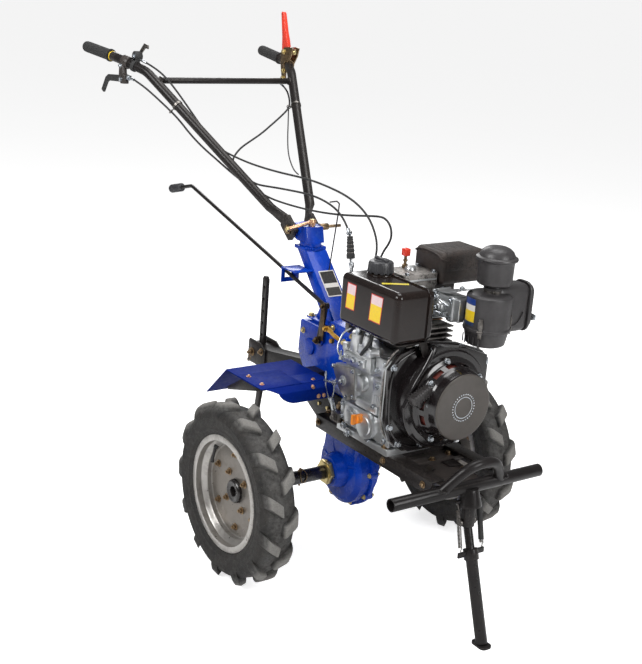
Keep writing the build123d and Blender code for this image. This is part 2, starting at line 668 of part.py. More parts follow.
def fan_shroud():
    """The blower cover: a flat flange, a round volute and the duct up to the cylinder."""
    flange = front_profile(SHROUD_OUTLINE, SHROUD_REAR_X, SHROUD_FRONT_X)
    flange = fillet(flange.edges().filter_by(Axis.X), 10)
    volute = rod((SHROUD_FRONT_X, 0, CRANK_Z), (VOLUTE_FRONT_X, 0, CRANK_Z), VOLUTE_R)
    volute = chamfer(volute.edges().sort_by(Axis.X)[-1], 8)
    duct = front_profile([(-70, CRANK_Z), (-44, 760), (60, 744), (136, 716), (136, CRANK_Z)],
                         SHROUD_FRONT_X, VOLUTE_FRONT_X - 6)
    return flange + volute + duct


def recoil_starter():
    """The stepped recoil housing with its domed front."""
    x0, z = VOLUTE_FRONT_X, CRANK_Z
    base = rod((x0, 0, z), (x0 + 14, 0, z), RECOIL_BASE_R)
    drum = rod((x0 + 14, 0, z), (RECOIL_FRONT_X - 30, 0, z), RECOIL_R + 8)
    front = rod((RECOIL_FRONT_X - 30, 0, z), (RECOIL_FRONT_X, 0, z), RECOIL_R)
    front = fillet(front.edges().sort_by(Axis.X)[-1], 6)
    return base + drum + front


def starter_handle():
    """The pull grip parked on the recoil housing's right side."""
    x = VOLUTE_FRONT_X + 14
    grip = Pos(x + 12, -104, CRANK_Z + 8) * Rot(26, 0, 0) * Box(22, 66, 24)
    return fillet(grip.edges(), 4) - recoil_starter()


def fuel_tank():
    """The rounded sheet tank."""
    tank = block(TANK_X, TANK_Y, TANK_Z)
    neck = rod((CAP_X, CAP_Y, TANK_Z[1]), (CAP_X, CAP_Y, TANK_Z[1] + 6), CAP_R - 7)
    return fillet(tank.edges(), TANK_ROUND) + neck


def tank_bracket():
    """The shelf on the cylinder's side that carries the tank."""
    shelf = block((150, 258), (TANK_Y[0] + 40, CYLINDER_Y[0]), (TANK_Z[0] - 6, TANK_Z[0]))
    return shelf + block((150, 258), (CYLINDER_Y[0] - 6, CYLINDER_Y[0]), (BLOCK_TOP_Z + 4, TANK_Z[0]))


def fuel_cap():
    """The ribbed filler cap."""
    z = TANK_Z[1] + 6
    cap = rod((CAP_X, CAP_Y, z), (CAP_X, CAP_Y, z + CAP_H), CAP_R)
    return chamfer(cap.edges().group_by(Axis.Z)[-1], 6)


def air_cleaner():
    """The oil-bath cleaner: body, dish, side housing and the neck under the bowl."""
    x, y = CLEANER_X, CLEANER_Y
    z0, z1 = CLEANER_Z
    body = rod((x, y, z0), (x, y, z1), CLEANER_R)
    body = fillet(body.edges().group_by(Axis.Z)[-1], 8)
    dish = cone((x, y, z0 - DISH_DEPTH), (x, y, z0), CLEANER_R - 10, CLEANER_R - 3)
    housing = block((x - 40, x + 24), (y, y + 146), (z0 - 14, z1 + 22))
    housing = fillet(housing.edges().filter_by(Axis.X), 22)
    stud = rod((x - 8, y + 146, z0 + 22), (x - 8, y + 160, z0 + 22), 4)
    neck = rod((PRE_X, PRE_Y, z1 - 8), (PRE_X, PRE_Y, z1 + 22), 22)
    return body + dish + housing + stud + neck


def pre_cleaner():
    """The mushroom bowl with its brim and dome."""
    x, y = PRE_X, PRE_Y
    z0 = CLEANER_Z[1] + 22
    bowl = rod((x, y, z0), (x, y, BRIM_Z), BRIM_R - 9)
    brim = rod((x, y, BRIM_Z), (x, y, BRIM_Z + 6), BRIM_R)
    dome = cone((x, y, BRIM_Z + 6), (x, y, BRIM_Z + 34), BRIM_R - 10, BRIM_R - 34)
    return bowl + brim + dome


def muffler():
    """The boxed silencer with its pipe from the head."""
    box = block(MUFFLER_X, MUFFLER_Y, MUFFLER_Z)
    box = fillet(box.edges(), 16)
    x = MUFFLER_X[0] + 40
    pipe = block((x - 24, x + 24), (CYLINDER_Y[1], MUFFLER_Y[1] - 60), (HEAD_Z0 + 40, HEAD_Z1))
    riser = rod((x, MUFFLER_Y[0] + 50, HEAD_Z1 - 2), (x, MUFFLER_Y[0] + 50, MUFFLER_Z[0] + 2), 18)
    return box + pipe + riser


# Handlebar
FOOT_DIRECTION = (Vector(*ELBOW) - Vector(TILT_X, FOOT_Y, TILT_Z)).normalized()
FOOT_PITCH = FOOT_DIRECTION.Z / -FOOT_DIRECTION.X


def swivel_head(column):
    """The casting that turns on the column and carries the tilt pin."""
    disc = rod((SWIVEL_X, 0, SWIVEL_Z + SEAT_GAP), (SWIVEL_X, 0, SWIVEL_Z + 13), 33)
    width = FOOT_Y - FOOT_PLATE_T / 2 - 1
    boss = rod((TILT_X, -width, TILT_Z), (TILT_X, width, TILT_Z), 21)
    web = side_profile([(TILT_X, TILT_Z + 21), (SWIVEL_X + 16, TILT_Z + 18), (SWIVEL_X + 28, SWIVEL_Z + 12),
                        (SWIVEL_X - 30, SWIVEL_Z + 12), (TILT_X, TILT_Z - 21)], -width + 4, width - 4)
    pin_bore = rod((TILT_X, -width, TILT_Z), (TILT_X, width, TILT_Z), TILT_PIN_R + RUNNING_FIT)
    bolt_bore = rod((SWIVEL_X, 0, SWIVEL_Z), (SWIVEL_X, 0, TILT_Z + 30), TILT_PIN_R)
    return disc + boss + web - pin_bore - bolt_bore


def swivel_bolt():
    """The T-handled clamp bolt through the head into the column."""
    top = TILT_Z + 40
    bolt = rod((SWIVEL_X, 0, SWIVEL_Z - 46), (SWIVEL_X, 0, top), TILT_PIN_R)
    sleeve = rod((SWIVEL_X, 0, TILT_Z + 21), (SWIVEL_X, 0, top - 4), 11)
    arm = rod((SWIVEL_X, 12, top - 6), (SWIVEL_X, -92, top - 26), 5.5)
    return bolt + sleeve + arm


def handlebar_tube(bore=TUBE_R - TUBE_WALL):
    """One long tube from its flattened foot to the grip, the left side."""
    pin = Vector(TILT_X, FOOT_Y, TILT_Z)
    start = pin + FOOT_DIRECTION * 95
    points = [(start.X, start.Y, start.Z), ELBOW, SHOULDER, TIP]
    tube = bent(points, [ELBOW_ROUND, ELBOW_ROUND], TUBE_R, bore)
    flat = Vector(FOOT_DIRECTION.X, 0, FOOT_DIRECTION.Z).normalized()
    up = Vector(-flat.Z, 0, flat.X) * -1
    half = FOOT_PLATE_H / 2

    def corner(distance, side):
        spot = pin + flat * distance + up * (side * half)
        return (spot.X, spot.Z)

    y0, y1 = FOOT_Y - FOOT_PLATE_T / 2, FOOT_Y + FOOT_PLATE_T / 2
    plate = side_profile([corner(-26, -1), corner(-26, 1), corner(40, 1), corner(40, -1)], y0, y1)
    plate = fillet(plate.edges().filter_by(Axis.Y), 6)
    plate_end = pin + flat * 39.9
    foot_face = Plane(plate_end, x_dir=(0, 1, 0), z_dir=flat) * Rectangle(FOOT_PLATE_T, FOOT_PLATE_H - 13)
    tube_face = Plane(start, x_dir=(0, 1, 0), z_dir=FOOT_DIRECTION) * Circle(TUBE_R)
    neck = loft([foot_face.face(), tube_face.face()])
    hole = rod((TILT_X, y0 - 1, TILT_Z), (TILT_X, y1 + 1, TILT_Z), TILT_PIN_R)
    return tube + neck + plate - hole


def tilt_bolt():
    """The plated clamp bolt through both feet, with its long nut."""
    outer = FOOT_Y + FOOT_PLATE_T / 2
    bolt = rod((TILT_X, -outer - 4, TILT_Z), (TILT_X, outer + 96, TILT_Z), TILT_PIN_R - 3)
    shank = rod((TILT_X, -outer, TILT_Z), (TILT_X, outer, TILT_Z), TILT_PIN_R)
    head = rod((TILT_X, -outer - 9, TILT_Z), (TILT_X, -outer, TILT_Z), 12)
    nut = rod((TILT_X, outer, TILT_Z), (TILT_X, outer + 48, TILT_Z), 12)
    return bolt + shank + head + nut


def crossbar():
    """The brace between the two tubes near the elbows."""
    solid_tube = handlebar_tube(0)
    y = ELBOW[1] - 14
    x, z = ELBOW[0] + 34, ELBOW[2] - 24
    return rod((x, -y, z), (x, y, z), CROSSBAR_R) - solid_tube - mirrored(solid_tube)


def grip():
    """The ribbed hand grip over the tube's end, the left side."""
    inner, tip = along(TIP, SHOULDER, GRIP_L), along(TIP, SHOULDER, -GRIP_CAP)
    sleeve = rod(inner, tip, GRIP_R - 1.5)
    for n in range(9):
        sleeve += rod(along(inner, tip, 8 + 14.5 * n), along(inner, tip, 18 + 14.5 * n), GRIP_R)
    return sleeve - rod(inner, TIP, TUBE_R + RUNNING_FIT)


CLAMP_BACK = 28.0
CLAMP_AT = along(SHOULDER, ELBOW, CLAMP_BACK)
CLAMP_L = 26.0


def clear_of_tube(piece):
    """A piece on the tube's run below the shoulder, bored for the tube."""
    start, end = along(SHOULDER, ELBOW, 90), along(SHOULDER, ELBOW, -10)
    ahead = rod(along(SHOULDER, TIP, -10), along(SHOULDER, TIP, 60), TUBE_R + 1)
    return piece - rod(start, end, TUBE_R + RUNNING_FIT) - ahead


def tube_clamp():
    """A clamp ring round the tube below the shoulder, the left side."""
    half = CLAMP_L / 2
    return rod(along(SHOULDER, ELBOW, CLAMP_BACK - half), along(SHOULDER, ELBOW, CLAMP_BACK + half), TUBE_R + 5)


def clutch_bracket():
    """The plated fork of the upright lever on the left tube, with its pin and cable stop."""
    x, y, z = CLAMP_AT
    outline = [(x - 26, z), (x + 14, z - 2), (x + 36, z + 30), (x + 44, z + 58), (x + 22, z + 60),
               (x - 8, z + 56), (x - 28, z + 36)]
    cheeks = side_profile(outline, y - 15, y - 11) + side_profile(outline, y + 11, y + 15)
    foot = side_profile([(x - 18, z), (x + 14, z), (x + 18, z - 58), (x - 2, z - 62)], y - 20, y - 15)
    pin = rod((x - 8, y - 17, z + 42), (x - 8, y + 17, z + 42), PIVOT_PIN_R)
    bridge = block((x + 24, x + 30), (y - 15, y + 15), (z + 34, z + 54))
    return clear_of_tube(tube_clamp() + cheeks + foot + bridge) + pin


def clutch_lever():
    """The upright lever on the left bracket."""
    x, y, z = CLAMP_AT
    outline = [(x - 34, z + 34), (x - 6, z + 26), (x + 4, z + 50), (x - 4, z + 76), (x - 18, z + 108),
               (x - 38, RED_TOP_Z - 6), (x - 44, RED_TOP_Z), (x - 50, RED_TOP_Z), (x - 53, RED_TOP_Z - 6),
               (x - 39, z + 90), (x - 37, z + 64)]
    hole = rod((x - 8, y - 20, z + 42), (x - 8, y + 20, z + 42), PIVOT_PIN_R + RUNNING_FIT)
    return side_profile(outline, y - 7, y + 7) - hole


def brake_lever():
    """The squeeze lever under the right grip with its perch and cable adjuster."""
    x, y, z = CLAMP_AT
    perch = side_profile([(x - 14, z), (x + 6, z), (x + 10, z - 34), (x + 24, z - 42), (x + 24, z - 66),
                          (x - 2, z - 68), (x - 16, z - 46)], y + 2, y + 20)
    blade = side_profile([
        (x + 12, z - 40), (x - 104, z - 50), (x - 122, z - 60), (x - 152, z - 104), (x - 136, z - 112),
        (x - 110, z - 76), (x - 98, z - 70), (x + 12, z - 62),
    ], y + 8, y + 16)
    adjuster = rod((x + 20, y + 9, z - 44), (x + 56, y, z - 50), 4.5)
    return mirrored(clear_of_tube(tube_clamp() + perch + blade + adjuster))


def throttle_lever():
    """The thumb lever on top of the right tube."""
    x, y, z = along(SHOULDER, ELBOW, CLAMP_BACK + CLAMP_L + 10)
    housing = rod((x, y - 20, z + 30), (x, y + 4, z + 30), 16)
    neck = block((x - 12, x + 12), (y - 12, y + 4), (z, z + 30))
    band = rod(along(SHOULDER, ELBOW, CLAMP_BACK + CLAMP_L + 4), along(SHOULDER, ELBOW, CLAMP_BACK + CLAMP_L + 16),
               TUBE_R + 4)
    blade = side_profile([(x - 4, z + 36), (x + 26, z + 58), (x + 44, z + 56), (x + 44, z + 68),
                          (x + 18, z + 72), (x - 12, z + 46)], y - 26, y - 20)
    return mirrored(clear_of_tube(housing + neck + band + blade))


# Cables: each is a list of points chosen along the route, and every corner's arc is as large as its runs allow
CABLE_R = {"throttle_cable": 3.0, "brake_cable": 3.0, "clutch_cable": 3.0, "stop_wire": 2.0}
CABLE_END_X = 119.0
CABLE_END_Z = 860.0
THROTTLE_END = (CABLE_END_X, -80.0, CABLE_END_Z + 0.7)
BRAKE_END = (CABLE_END_X, -66.0, CABLE_END_Z + 0.7)
CLUTCH_END = (26.0, -86.0, 977.0)
CABLES = {
    "throttle_cable": [
        (-884, -277, 1351), (-852, -262, 1340), (-812, -235, 1314), (-767, -213, 1271), (-723, -191, 1222),
        (-678, -171, 1174), (-632, -149, 1130), (-602, -134, 1109), (-559, -117, 1097), (-492, -103, 1088),
        (-424, -97, 1086), (-356, -95, 1087), (-287, -94, 1090), (-218, -94, 1094), (-150, -93, 1095),
        (-81, -92, 1092), (-13, -89, 1085), (48, -85, 1070), (92, -81, 1046), (118, -80, 1021),
        (135, -79, 993), (142, -80, 972), (142, -80, 950), (132, -80, 920), (124, -80, 890), THROTTLE_END,
    ],
    "brake_cable": [
        (-876, -306, 1291), (-848, -297, 1281), (-818, -281, 1263), (-773, -252, 1227), (-725, -228, 1192),
        (-683, -206, 1149), (-638, -187, 1116), (-588, -162, 1084), (-547, -132, 1050), (-510, -108, 1025),
        (-488, -86, 1008), (-470, -71, 999), (-450, -63, 993), (-426, -60, 990), (-382, -62, 990),
        (-317, -63, 992), (-253, -62, 995), (-189, -62, 1000), (-126, -63, 1007), (-62, -64, 1016),
        (2, -65, 1027), (62, -66, 1039), (98, -66, 1046), (123, -66, 1050), (145, -66, 1051),
        (166, -66, 1043), (180, -66, 1026), (182, -66, 1004), (172, -66, 984), (158, -66, 967),
        (146, -66, 946), (134, -66, 918), (125, -66, 889), BRAKE_END,
    ],
    "clutch_cable": [
        (-932, 282, 1274), (-872, 265, 1264), (-816, 241, 1247), (-766, 214, 1227), (-738, 188, 1213),
        (-710, 142, 1193), (-681, 90, 1172), (-654, 38, 1150), (-628, -17, 1132), (-597, -68, 1119),
        (-580, -97, 1104), (-570, -114, 1089), (-559, -120, 1073), (-543, -114, 1058), (-526, -102, 1044),
        (-510, -88, 1032), (-494, -79, 1025), (-472, -75, 1023), (-428, -74, 1027), (-366, -76, 1034),
        (-303, -78, 1040), (-241, -81, 1046), (-179, -84, 1050), (-116, -86, 1049), (-58, -87, 1040),
        (-23, -87, 1026), (8, -86, 1002), CLUTCH_END,
    ],
    "stop_wire": [
        (-753, 201, 1212), (-718, 179, 1193), (-674, 151, 1169), (-618, 115, 1147), (-562, 80, 1130),
        (-506, 46, 1118), (-450, 14, 1109), (-390, -18, 1102), (-332, -48, 1098), (-280, -73, 1097),
        (-244, -88, 1098),
    ],
}


def corner_radii(points):
    """The largest arc that each corner of a route allows, at 0.45 of its shorter run."""
    radii = []
    for before, here, after in zip(points, points[1:], points[2:]):
        arriving, leaving = Vector(*here) - Vector(*before), Vector(*after) - Vector(*here)
        turn = radians(max(arriving.get_angle(leaving), 0.2))
        radii.append(0.45 * min(arriving.length, leaving.length) / tan(turn / 2))
    return radii


def cable(name):
    """One cable as a plain tube, with its radii and length printed."""
    points, cable_r = CABLES[name], CABLE_R[name]
    radii = corner_radii(points)
    path = FilletPolyline(*points, radius=radii)
    tube = bent(points, radii, cable_r)
    expected = pi * cable_r ** 2 * path.length
    print(name, "length", round(path.length), "least radius", round(min(radii)),
          "volume share", round(tube.volume / expected, 3))
    return tube


def cable_bracket():
    """The bent plate behind the tank where the throttle and brake cables end."""
    y0, y1 = THROTTLE_END[1] - 10, BRAKE_END[1] + 10
    upright = block((CABLE_END_X - 11, CABLE_END_X - 7), (y0, y1), (BLOCK_TOP_Z, CABLE_END_Z))
    shelf = block((CABLE_END_X - 7, CABLE_END_X + 9), (y0, y1), (CABLE_END_Z - 4, CABLE_END_Z))
    return upright + shelf


def clutch_link():
    """The rubber boot at the clutch cable's end, its rod and the fork on the gear case."""
    x, y, z = CLUTCH_END
    boot_foot, fork = (x + 12, y, z - 62), (x + 24, y + 6, CASE_TOP_Z + CASE_STEP_H + 24)
    boot_top = along(CLUTCH_END, boot_foot, 1.5)
    boot = cone(boot_top, along(boot_top, boot_foot, 22), 7, 9) + cone(
        along(boot_top, boot_foot, 22), boot_foot, 9, 11)
    clevis = block((fork[0] - 8, fork[0] + 8), (y - 3, -CASE_HALF_W + 6),
                   (CASE_TOP_Z + CASE_STEP_H, fork[2] + 4))
    return boot + rod(boot_foot, fork, 3) + clevis


def cable_stay(column, case):
    """The bent wire on the column's face that holds the clutch cable up."""
    wire = bent([(-205, 19, 808), (-59, -70, 1017), (-43, -80, 1052), (-49, -84, 1058), (-84, -82.5, 1048.5)],
                [14, 3, 4], 2)
    return wire - column - case


def cable_clip(eye, direction):
    """A band round the left tube with an eye for a cable, the eye's axis along the direction."""
    low, high = Vector(TILT_X, FOOT_Y, TILT_Z), Vector(*ELBOW)
    unit = (high - low).normalized()
    foot = low + unit * (Vector(*eye) - low).dot(unit)
    out = (Vector(*eye) - foot).normalized()
    band = rod(foot - unit * 4, foot + unit * 4, TUBE_R + 2, TUBE_R + RUNNING_FIT)
    stalk = rod(foot + out * (TUBE_R + 1), Vector(*eye) - out * 5.5, 1.6)
    loop = Plane(eye, z_dir=direction) * Torus(6, 1.6)
    return band + stalk + loop


def cable_clips():
    """The two wire clips, on the left tube for the clutch cable and on the right for the brake's."""
    left = cable_clip((-752, 201, 1220), (28, -26, -14))
    right = mirrored(cable_clip((-749, 240, 1209.5), (48, -24, -35)))
    return Compound(children=[*left.solids(), *right.solids()])


if __name__ == "__main__":
    wheels()
    case, column = gearbox_upper(), handlebar_column()
    left_tube, bumper = handlebar_tube(), front_bumper()
    pieces = {
        "gearbox_final": gearbox_final(),
        "gearbox_upper": case,
        "clutch_housing": clutch_housing(),
        "handlebar_column": column - case,
        "lever_guide": lever_guide(),
        "gear_lever": gear_lever(),
        "rear_hitch": rear_hitch(case),
        "depth_stake": depth_stake(),
        "hitch_pin": hitch_pin(),
        "mudguards": both(mudguard()),
        "mudguard_brackets": both(mudguard_bracket()),
        "frame_rails": both(frame_rail()),
        "side_plates": both(side_plate()),
        "cross_member": cross_member(),
        "front_bumper": bumper,
        "stand_socket": stand_socket(bumper),
        "stand_leg": stand_leg(),
        "stand_springs": stand_springs(),
        "crankcase": crankcase(),
        "engine_side_casting": engine_side_casting(),
        "oil_cap": oil_cap(),
        "cylinder": cylinder(),
        "cylinder_head": cylinder_head(),
        "intake_elbow": intake_elbow(),
        "decompression_lever": decompression_lever(),
        "fan_shroud": fan_shroud(),
        "recoil_starter": recoil_starter(),
        "starter_handle": starter_handle(),
        "fuel_tank": fuel_tank(),
        "tank_bracket": tank_bracket(),
        "fuel_cap": fuel_cap(),
        "air_cleaner": air_cleaner(),
        "pre_cleaner": pre_cleaner(),
        "muffler": muffler(),
        "swivel_head": swivel_head(column),
        "swivel_bolt": swivel_bolt(),
        "handlebar_left": left_tube,
        "handlebar_right": mirrored(left_tube),
        "tilt_bolt": tilt_bolt(),
        "crossbar": crossbar(),
        "grips": both(grip()),
        "clutch_bracket": clutch_bracket(),
        "clutch_lever": clutch_lever(),
        "brake_lever": brake_lever(),
        "throttle_lever": throttle_lever(),
        "cable_holders": Compound(children=[cable_bracket(), cable_stay(column, case)]),
        "clutch_link": clutch_link(),
        "cable_clips": cable_clips(),
        **{name: cable(name) for name in CABLES},
    }
    for node, piece in pieces.items():
        save(node, piece)
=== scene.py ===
"""The looks of a two-wheeled walking tractor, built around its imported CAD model.

Every class is one sub-assembly. It holds its sizes in millimetres as fields, makes its pieces with
bmesh operators, and dresses them in procedural finishes. Lengths are measured from the ground point
below the wheel axle, X forward to the engine, Y to the machine's left and Z up, as the part's source
measures them, or from the origin that a Shape is given. A Shape turns them into metres in the frame's
own axes when a piece is finished.
"""

from __future__ import annotations

import json
import logging
import math
from dataclasses import dataclass, field
from enum import Enum
from typing import Callable, Iterable, Sequence

import bmesh
import bpy
from mathutils import Matrix, Vector

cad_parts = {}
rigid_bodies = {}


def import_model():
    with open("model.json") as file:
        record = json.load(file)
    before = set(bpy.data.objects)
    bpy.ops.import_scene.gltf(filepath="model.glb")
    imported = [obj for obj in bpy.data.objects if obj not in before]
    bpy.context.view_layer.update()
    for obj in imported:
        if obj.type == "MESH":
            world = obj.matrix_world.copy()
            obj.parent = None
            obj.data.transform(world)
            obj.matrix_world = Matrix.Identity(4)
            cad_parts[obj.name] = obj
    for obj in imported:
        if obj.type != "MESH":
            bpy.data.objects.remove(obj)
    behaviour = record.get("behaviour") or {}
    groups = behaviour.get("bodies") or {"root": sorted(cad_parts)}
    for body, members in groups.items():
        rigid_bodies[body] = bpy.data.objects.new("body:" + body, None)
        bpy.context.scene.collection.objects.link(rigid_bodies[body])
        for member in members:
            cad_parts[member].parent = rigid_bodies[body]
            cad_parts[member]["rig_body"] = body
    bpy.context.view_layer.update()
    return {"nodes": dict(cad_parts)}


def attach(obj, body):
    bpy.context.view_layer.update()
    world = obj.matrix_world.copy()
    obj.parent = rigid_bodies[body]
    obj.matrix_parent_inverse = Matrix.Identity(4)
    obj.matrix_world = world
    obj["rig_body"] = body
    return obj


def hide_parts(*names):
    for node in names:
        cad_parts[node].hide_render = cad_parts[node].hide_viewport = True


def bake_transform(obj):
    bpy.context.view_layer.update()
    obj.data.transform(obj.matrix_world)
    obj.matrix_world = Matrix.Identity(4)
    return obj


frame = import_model()

LOG = logging.getLogger("walking_tractor")
MM = 0.001
AXLE_AHEAD = 251.65
AXLE_Z = 260.0
TURN = 2 * math.pi
SHARP_DEG = 32.0

Point = Sequence[float]
Profile = Sequence[tuple[float, float]]
Socket = bpy.types.NodeSocket
Tint = int
UP, DOWN, LEFT, RIGHT, AHEAD = (0, 0, 1), (0, 0, -1), (0, 1, 0), (0, -1, 0), (1, 0, 0)


class Body(Enum):
    """The CAD bodies that pieces ride on."""

    WHEELSET = "wheelset"
    STAND = "stand"
    SWIVEL = "swivel"
    HANDLEBAR = "handlebar"
    CHASSIS = "chassis"


class Slot(Enum):
    """The record's material slots."""

    TYRE = "tyre"
    RIM = "rim_steel"
    BLACK = "black_paint"
    BLUE = "blue_paint"
    ZINC = "yellow_zinc"
    STEEL = "bare_steel"
    CAST = "cast_alloy"
    GLOSS = "black_gloss"
    PLASTIC = "black_plastic"
    HEAT = "black_heat_paint"
    RED = "red_plastic"
    COPPER = "copper_plate"
    ORANGE = "orange_plastic"
    SHEATH = "cable_sheath"
    GRIP = "grip_rubber"


class Axis(Enum):
    """The axes that plates stand square to: to the machine's left, and up."""

    Y = 1
    Z = 2

    def spot(self, value: float, others: Point = (0, 0)) -> list[float]:
        """The point at a value on this axis and at two values on the others."""
        made = list(others)
        made.insert(self.value, value)
        return made


def polar(radius: float, angle_deg: float) -> tuple[float, float]:
    """Where a point on a ring lies across it and up."""
    turn = math.radians(angle_deg)
    return radius * math.cos(turn), radius * math.sin(turn)


def mirrored(spot: Point) -> Vector:
    """The same point on the machine's other side."""
    return Vector((spot[0], -spot[1], spot[2]))


def place(x: float, y: float, z: float) -> Vector:
    """A point measured from below the axle, in the frame's metres.

    Args:
        x: Millimetres forward of the axle.
        y: Millimetres to the machine's left.
        z: Millimetres above the ground.

    Returns:
        The same point in the row frame.
    """
    return Vector((x + AXLE_AHEAD, y, z)) * MM


def colour(tint: Tint | Socket | Sequence[float]) -> Socket | Sequence[float]:
    """A hexadecimal screen colour as the shader's linear one, and anything else as it is."""
    if not isinstance(tint, int):
        return tint
    shares = [(tint >> shift & 255) / 255 for shift in (16, 8, 0)]
    linear = (share / 12.92 if share <= 0.04045 else ((share + 0.055) / 1.055) ** 2.4 for share in shares)
    return (*linear, 1.0)


class Graph:
    """A material's node tree, with short ways to add and join nodes."""

    def __init__(self, name: str) -> None:
        """Start a material with its principled shader and object coordinates.

        Args:
            name: The material's name.
        """
        self.material = bpy.data.materials.new(name)
        self.material.use_nodes = True
        self.tree = self.material.node_tree
        self.shader = self.tree.nodes["Principled BSDF"]
        self.place = self.add("ShaderNodeTexCoord").outputs["Object"]

    def add(self, kind: str, **settings: object) -> bpy.types.Node:
        """A new node with its settings."""
        node = self.tree.nodes.new(kind)
        for key, value in settings.items():
            setattr(node, key, value)
        return node

    def join(self, source: Socket | float | Sequence[float], target: Socket) -> None:
        """Feed a socket from another socket, or set it to a value."""
        if isinstance(source, bpy.types.NodeSocket):
            self.tree.links.new(source, target)
        else:
            target.default_value = source

    def math(self, operation: str, first: Socket | float, second: Socket | float = 0.0) -> Socket:
        """One sum of two values."""
        node = self.add("ShaderNodeMath", operation=operation)
        self.join(first, node.inputs[0])
        self.join(second, node.inputs[1])
        return node.outputs[0]

    def noise(self, scale: float, detail: float = 3.0, rough: float = 0.55, bend: float = 0.0) -> Socket:
        """Cloudy noise over the piece, its scale in cycles a metre."""
        node = self.add("ShaderNodeTexNoise")
        node.inputs["Scale"].default_value = scale
        node.inputs["Detail"].default_value = detail
        node.inputs["Roughness"].default_value = rough
        node.inputs["Distortion"].default_value = bend
        self.join(self.place, node.inputs["Vector"])
        return node.outputs["Fac"]

    def cells(self, scale: float) -> Socket:
        """Distance to the nearest of scattered points."""
        node = self.add("ShaderNodeTexVoronoi")
        node.inputs["Scale"].default_value = scale
        self.join(self.place, node.inputs["Vector"])
        return node.outputs["Distance"]

    def spread(self, source: Socket, low: float, high: float, out_low: float = 0.0,
               out_high: float = 1.0) -> Socket:
        """A value between two limits, stretched to two others and clamped."""
        node = self.add("ShaderNodeMapRange")
        self.join(source, node.inputs["Value"])
        for key, value in (("From Min", low), ("From Max", high), ("To Min", out_low), ("To Max", out_high)):
            node.inputs[key].default_value = value
        return node.outputs["Result"]

    def cloud(self, grain: Sequence[float], *limits: float) -> Socket:
        """Cloudy noise spread between limits: the noise's own settings, then those of spread."""
        return self.spread(self.noise(*grain), *limits)

    def mix(self, share: Socket | float, first: Tint | Socket | Sequence[float],
            second: Tint | Socket | Sequence[float]) -> Socket:
        """A colour between two colours."""
        node = self.add("ShaderNodeMix", data_type="RGBA")
        for source, number in ((share, 0), (colour(first), 6), (colour(second), 7)):
            self.join(source, node.inputs[number])
        return node.outputs[2]

    def axis(self, name: str) -> Socket:
        """One coordinate of the place on the piece."""
        node = self.add("ShaderNodeSeparateXYZ")
        self.join(self.place, node.inputs[0])
        return node.outputs[name]

    def around_axle(self) -> Socket:
        """How far a point is from the wheels' axle."""
        shift = self.add("ShaderNodeVectorMath", operation="SUBTRACT")
        self.join(self.place, shift.inputs[0])
        shift.inputs[1].default_value = tuple(place(0, 0, AXLE_Z))
        flat = self.add("ShaderNodeVectorMath", operation="MULTIPLY")
        self.join(shift.outputs[0], flat.inputs[0])
        flat.inputs[1].default_value = (1.0, 0.0, 1.0)
        length = self.add("ShaderNodeVectorMath", operation="LENGTH")
        self.join(flat.outputs[0], length.inputs[0])
        return length.outputs["Value"]

    def hollows(self, reach: float) -> Socket:
        """How open a place is: 0 deep in a corner, 1 out in the open."""
        node = self.add("ShaderNodeAmbientOcclusion", samples=4)
        node.inputs["Distance"].default_value = reach
        return node.outputs["AO"]

    def edges(self, low: float = 0.53, high: float = 0.6) -> Socket:
        """Where the surface is an outer edge, for wear."""
        return self.spread(self.add("ShaderNodeNewGeometry").outputs["Pointiness"], low, high)

    def bump(self, height: Socket, depth: float, strength: float = 1.0,
             below: Socket | None = None) -> Socket:
        """A bump of a real depth in metres, over another bump where one is given."""
        node = self.add("ShaderNodeBump")
        node.inputs["Strength"].default_value = strength
        node.inputs["Distance"].default_value = depth
        self.join(height, node.inputs["Height"])
        if below is not None:
            self.join(below, node.inputs["Normal"])
        return node.outputs["Normal"]

    def surface(self, **sockets: Socket | float | Sequence[float]) -> None:
        """Set the shader's inputs, written with underscores for the spaces in their names."""
        for key, value in sockets.items():
            self.join(value, self.shader.inputs[key.replace("_", " ")])


@dataclass(frozen=True)
class Finish:
    """A finish that the pieces of one slot share."""

    name: str
    slot: Slot

    def dress(self, graph: Graph) -> None:
        """Build the finish's nodes."""
        raise NotImplementedError

    def material(self) -> bpy.types.Material:
        """The finish's material, made once."""
        known = bpy.data.materials.get(self.name)
        if known is not None:
            return known
        graph = Graph(self.name)
        self.dress(graph)
        return graph.material


@dataclass(frozen=True)
class Paint(Finish):
    """Sprayed enamel with a faint orange peel, dust in its corners and worn edges."""

    base: Tint
    shade: Tint
    worn: Tint
    rough: float = 0.3
    coat: float = 0.3
    peel: float = 0.00012
    wear: float = 0.35
    gleam: float = 0.4

    def dress(self, graph: Graph) -> None:
        """Build the finish's nodes."""
        cloud = graph.cloud((9, 4, 0.6, 0.4), 0.35, 0.7)
        skin = graph.mix(cloud, self.base, self.shade)
        specks = graph.cloud((420, 2, 0.7), 0.66, 0.72, 0.0, 0.35)
        skin = graph.mix(specks, skin, self.worn)
        scuff = graph.math("MULTIPLY", graph.edges(), graph.cloud((170, 5, 0.7), 0.42, 0.62))
        skin = graph.mix(graph.math("MULTIPLY", scuff, self.wear), skin, self.worn)
        rough = graph.cloud((60, 4, 0.65), 0.3, 0.75, self.rough - 0.06, self.rough + 0.1)
        normal = graph.bump(graph.noise(330, 2, 0.5), self.peel, 0.5)
        graph.surface(Base_Color=skin, Roughness=rough, Normal=normal,
                      Coat_Weight=self.coat, Coat_Roughness=0.12, Specular_IOR_Level=self.gleam)


